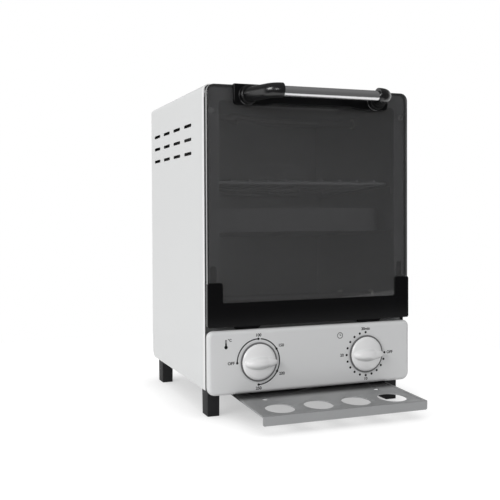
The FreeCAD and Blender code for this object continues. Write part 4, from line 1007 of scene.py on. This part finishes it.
foot = buildFoot(footValues)
for x, sideName in ((footValues["leftX"], "left"), (footValues["rightX"], "right")):
    for y, endName in ((footValues["frontY"], "front"), (footValues["rearY"], "rear")):
        name = "foot_" + endName + "_" + sideName
        twin = shiftPiece(copyPiece(foot, name + "_dressed"), at(x, y, 0))
        dress(twin, "footPlastic", "cabinet", "foot_plastic", name)
bpy.data.objects.remove(foot)
print("feet done")


# screws

screwValues = {
    "pan": {"radius": 3.2, "height": 1.6, "recess": 1.9, "width": 0.75, "depth": 0.9},
    "flat": {"radius": 3.2, "height": 0.9, "recess": 1.9, "width": 0.75, "depth": 0.6},
    "sole": {"radius": 3.1, "height": 2.0, "recess": 1.8, "width": 0.75, "depth": 1.0},
    "handle": {"radius": 4.5, "height": 1.2, "recess": 2.4, "width": 0.95, "depth": 0.8},
}
# a stub of shank below the head, then the head's outline as shares of its radius and height;
# each screw is turned by one more step, in radians
screwShape = {
    "stubShare": 0.5, "stub": 1.5, "seat": 0.01, "recessRise": 1, "recessTaper": 0.7, "turnStep": 0.7,
    "outline": ((1.0, 0.0), (1.0, 0.35), (0.93, 0.62), (0.74, 0.86), (0.4, 1.0)),
}
screwPlaces = {
    "rearX": 106.3, "rearY": 95.0, "rearZ": (62.0, 182.0, 302.0),
    "frameX": 106.0, "frameY": -97.4, "frameZ": 298.7,
}
screwRuns = {
    "rear_screws": ("pan", back, [(side * screwPlaces["rearX"], screwPlaces["rearY"], z)
                                  for side in (left, right) for z in screwPlaces["rearZ"]]),
    "frame_screws": ("flat", -back, [(side * screwPlaces["frameX"], *take(screwPlaces, "frameY", "frameZ"))
                                     for side in (left, right)]),
    "foot_screws": ("sole", -up, [(footValues[x], footValues[y], footValues["boreDepth"])
                                  for x in ("leftX", "rightX") for y in ("frontY", "rearY")]),
    "handle_screws": ("handle", back, [(side * handleValues["postX"], paneValues["backY"], handleValues["z"])
                                       for side in (left, right)]),
}


def buildScrew(values, shape):
    # a domed head with a cross recess, seated at the origin and facing up
    radius, height, reach, depth = take(values, "radius", "height", "recess", "depth")
    stub, half = radius * shape["stubShare"], values["width"] / 2
    rings = [(stub, -shape["stub"]), (stub, -shape["seat"])]
    rings += [(radius * wide, height * tall) for wide, tall in shape["outline"]]
    head = addTurned("screwHead", at(0, 0, 0), up, rings, sides=36)
    for wide, deep in ((reach, half), (half, reach)):
        groove = addBlock("groove", at(-wide, -deep, height - depth),
                          at(wide, deep, height + shape["recessRise"]))
        pick(groove, "FACE", lambda middle, normal: looks(normal, -up))
        stretch((shape["recessTaper"], shape["recessTaper"], 1))
        closeEdit()
        combine(head, groove)
    return head


def placeScrews(name, head, axis, places):
    copies = []
    for index, place in enumerate(places):
        twin = copyPiece(head, name + str(index))
        spin = Euler((0, 0, screwShape["turnStep"] * index)).to_quaternion()
        twin.rotation_euler = (axis.to_track_quat("Z", "Y") @ spin).to_euler()
        twin.location = at(*place)
        copies.append(settle(twin))
    return rename(joinPieces(copies[0], *copies[1:]), name + "_dressed")


for name, (kind, axis, places) in screwRuns.items():
    head = buildScrew(screwValues[kind], screwShape)
    body = "door" if kind == "handle" else "cabinet"
    finish = "brightScrew" if kind == "flat" else "platedSteel"
    dress(placeScrews(name, head, axis, places), finish, body, "plated_steel", name)
    bpy.data.objects.remove(head)
print("screws done")


# bottom tray

trayValues = {
    "halfWidth": 85.8, "frontY": -173.7, "top": 18.0, "length": 112.0, "sheet": 1.0, "slope": 2.4,
    "lip": 8.4, "lipCorner": 1.6,
    "holeRadius": 14.0, "holeX": (-60, -20, 20, 60), "holeInset": 20.6, "holeEdge": 0.35,
    "smallRadius": 3.3, "smallX": (-61.5, 61.5), "smallInset": 50.7,
    "hem": 3.4, "hemRise": 0.5, "hemRound": 0.4, "hemLap": 0.2, "drillRun": (-3, 4), "longestFacet": 2,
}


def buildTray(values):
    half, front, top, sheet, lip = take(values, "halfWidth", "frontY", "top", "sheet", "lip")
    under, rear = top - sheet, front + values["length"]
    tray = addBlock("bottomTray", at(-half, front, under), at(half, rear, top))
    openWhole(tray)
    cutThrough(at(0, front + sheet, 0), back)
    pick(tray, "FACE", lambda middle, normal: looks(normal, -up) and middle.y < (front + sheet) * mm)
    push(at(0, 0, sheet - lip))
    pick(tray, "EDGE", lambda a, b: near(abs(a.y - b.y), sheet) and near(a.z, top - lip))
    bevelPicked(values["lipCorner"], segments=5)
    hem, crest = values["hem"], top + values["hemRise"]
    rim = addBlock("rim", at(-half, front, under + values["hemLap"]), at(half, rear, crest))
    combine(rim, addBlock("inside", at(hem - half, front + hem, under - spare),
                          at(half - hem, rear + spare, crest + spare)))
    roundRim(rim, 2, crest, values["hemRound"], segments=3)
    combine(tray, rim, "UNION")
    for row, sides in (("hole", 72), ("small", 32)):
        radius, places, inset = take(values, row + "Radius", row + "X", row + "Inset")
        for x in places:
            drillHole(tray, at(x, front + inset, under), up, radius, *values["drillRun"], sides)
    # the short edges on top, inside the hem, are the holes' rims
    pick(tray, "EDGE", lambda a, b: near(a.z, top) and near(b.z, top)
         and (a - b).length < values["longestFacet"] * mm and abs(a.x) < (half - hem) * mm)
    bevelPicked(values["holeEdge"], segments=2)
    pivot = Matrix.Translation(at(0, front, top))
    tray.matrix_world = pivot @ Matrix.Rotation(radians(values["slope"]), 4, "X") @ pivot.inverted()
    return settle(tray)


dress(buildTray(trayValues), "greyTray", "tray", "grey_tray", "bottom_tray", angle=30)
print("tray done")


# door springs

springValues = {
    "x": 104.3, "y": -68.8, "bottom": 37.4, "top": 88.3,
    "coilRadius": 2.7, "wireRadius": 0.45, "turns": 30, "turnSteps": 14,
    "loopShare": 0.08, "hookLap": 1.0, "tipShare": 0.8, "tip": 0.2,
}


def buildSpring(values):
    # a close coil with a straight hook wire at each end
    x, y, low, high = take(values, "x", "y", "bottom", "top")
    wire, coil, tip, lap = take(values, "wireRadius", "coilRadius", "tip", "hookLap")
    point = wire * values["tipShare"]
    loop = (high - low) * values["loopShare"]
    steps = values["turnSteps"] * values["turns"]
    spring = addCircle("doorSpringRight", wire, 8, "NOTHING", at(coil, 0, 0))
    applyModifier(spring, "SCREW", angle=2 * pi * values["turns"], screw_offset=(high - low - 2 * loop) * mm,
                  steps=steps, render_steps=steps, axis="Z", use_smooth_shade=True, use_merge_vertices=False)
    shiftPiece(spring, at(x, y, low + loop))
    for start, end, level in ((low, low + loop + lap, low + loop), (high - loop - lap, high, high - loop)):
        hook = addTurned("hook", at(x, y, 0), up, [(point, start), (wire, start + tip), (wire, end - tip),
                                                   (point, end)], sides=12)
        spoke = addTurned("spoke", at(x, y, level), across, [(wire, 0), (wire, coil)], sides=12)
        joinPieces(spring, hook, spoke)
    return faceOutwards(spring)


doorSpringRight = buildSpring(springValues)
doorSpringLeft = shiftPiece(copyPiece(doorSpringRight, "doorSpringLeft"), at(-2 * springValues["x"], 0, 0))
for spring, side in ((doorSpringRight, "right"), (doorSpringLeft, "left")):
    dress(spring, "platedSteel", "cabinet", "plated_steel", "door_spring_" + side, angle=60)
print("springs done")


# cord gland

glandValues = {
    "place": (-62.0, 95.0, 56.0),
    "rings": ((7.0, -14.0), (7.0, 0.0), (10.5, 0.01), (10.5, 1.0), (10.2, 1.6), (9.4, 2.0), (6.0, 2.0)),
    "bellmouth": ((3.6, -16.0), (3.6, 1.2), (3.9, 1.7), (4.6, 2.05), (4.6, 4.0)),
}


def buildGland(values):
    place = at(*values["place"])
    gland = addTurned("cordGland", place, back, values["rings"])
    return combine(gland, addTurned("bore", place, back, values["bellmouth"], sides=48))


dress(buildGland(glandValues), "controlPlastic", "cabinet", "black_plastic", "cord_gland")
print("gland done")


# floor, backdrop and light, in metres

stageValues = {
    "floorHalf": 0.4, "floorColour": (0.82, 0.82, 0.82), "floorRough": 0.9, "floorSpecular": 0.1,
    "whiteShare": 0.62, "mirrorShare": 0.7, "white": 1.5, "paintedLight": 0.66, "shadeReach": 0.07,
    "skyLight": 0.38, "roomDark": 0.13, "roomTop": 0.20,
    "backdropHeight": (0.46, 0.31), "backdropDepth": (-0.1, 0.3),
}
lampValues = {
    "key": {"place": (-1.8, -0.95, 1.0), "aimZ": 0.16, "size": 0.8, "power": 17.8, "mirrored": True},
    "front": {"place": (-0.95, -2.2, 0.65), "aimZ": 0.16, "size": 0.55, "power": 6.2, "mirrored": True},
    "top": {"place": (0.1, 0.2, 2.2), "aimZ": 0.2, "size": 1.6, "power": 7.0, "mirrored": False},
}


def seenDirectly(tree, mirrored):
    # 1 for what the camera sees itself or through glass, and the mirrored level in a mirror
    path = addNode(tree, "ShaderNodeLightPath").outputs
    seen = maths(tree, "MAXIMUM", path["Is Camera Ray"], path["Is Transmission Ray"])
    return maths(tree, "MAXIMUM", seen, maths(tree, "MULTIPLY", path["Is Glossy Ray"], mirrored))


def addFloor(values):
    deselectAll()
    bpy.ops.mesh.primitive_plane_add(size=2 * values["floorHalf"], location=(0, 0, 0))
    floor = rename(bpy.context.object, "floor")
    material, tree, shader = newMaterial("paleFloor")
    feedAll(tree, shader, {"Base Color": (*values["floorColour"], 1), "Roughness": values["floorRough"],
                           "Specular IOR Level": values["floorSpecular"]})
    # the white fades where something stands close above it: a painted contact shadow in the floor's white
    nearness = addNode(tree, "ShaderNodeAmbientOcclusion", {"samples": 8}, Distance=values["shadeReach"])
    level = ramp(tree, nearness.outputs["AO"], 0.0, 1.0, values["paintedLight"], values["white"])
    white = addNode(tree, "ShaderNodeEmission", Color=(1, 1, 1, 1), Strength=level)
    seen = seenDirectly(tree, values["mirrorShare"])
    coverShader(tree, maths(tree, "MULTIPLY", seen, values["whiteShare"]), shader, white)
    floor.data.materials.append(material)


def addWorld(values):
    # white where it is seen, and a soft even light on the object; mirrors show white low down behind
    # the object only, and a dim room overhead and in front of it
    world = bpy.data.worlds.new("studio")
    bpy.context.scene.world = world
    world.use_nodes = True
    tree = world.node_tree
    parts = split(tree, addNode(tree, "ShaderNodeTexCoord").outputs["Generated"])
    low = ramp(tree, parts["Z"], *values["backdropHeight"], kind="SMOOTHSTEP")
    behind = ramp(tree, parts["Y"], *values["backdropDepth"], kind="SMOOTHSTEP")
    dim = ramp(tree, parts["Z"], 0.0, 1.0, values["roomDark"], values["roomTop"])
    mirrored = maths(tree, "MAXIMUM", maths(tree, "MULTIPLY", low, behind), dim)
    unseen = maths(tree, "SUBTRACT", 1.0, seenDirectly(tree, 1.0))
    sky = maths(tree, "MULTIPLY", unseen, values["skyLight"])
    feedAll(tree, tree.nodes["Background"], {
        "Color": (1, 1, 1, 1), "Strength": maths(tree, "MAXIMUM", seenDirectly(tree, mirrored), sky)})


def addLamp(name, values):
    bpy.ops.object.light_add(type="AREA", location=values["place"])
    lamp = rename(bpy.context.object, name + "Lamp")
    aim = up * values["aimZ"] - Vector(values["place"])
    lamp.rotation_euler = aim.to_track_quat("-Z", "Y").to_euler()
    lamp.data.size, lamp.data.energy, lamp.visible_glossy = take(values, "size", "power", "mirrored")


addFloor(stageValues)
addWorld(stageValues)
for lampName, values in lampValues.items():
    addLamp(lampName, values)
bpy.context.scene.view_settings.view_transform = "Standard"
print("stage and lamps done")
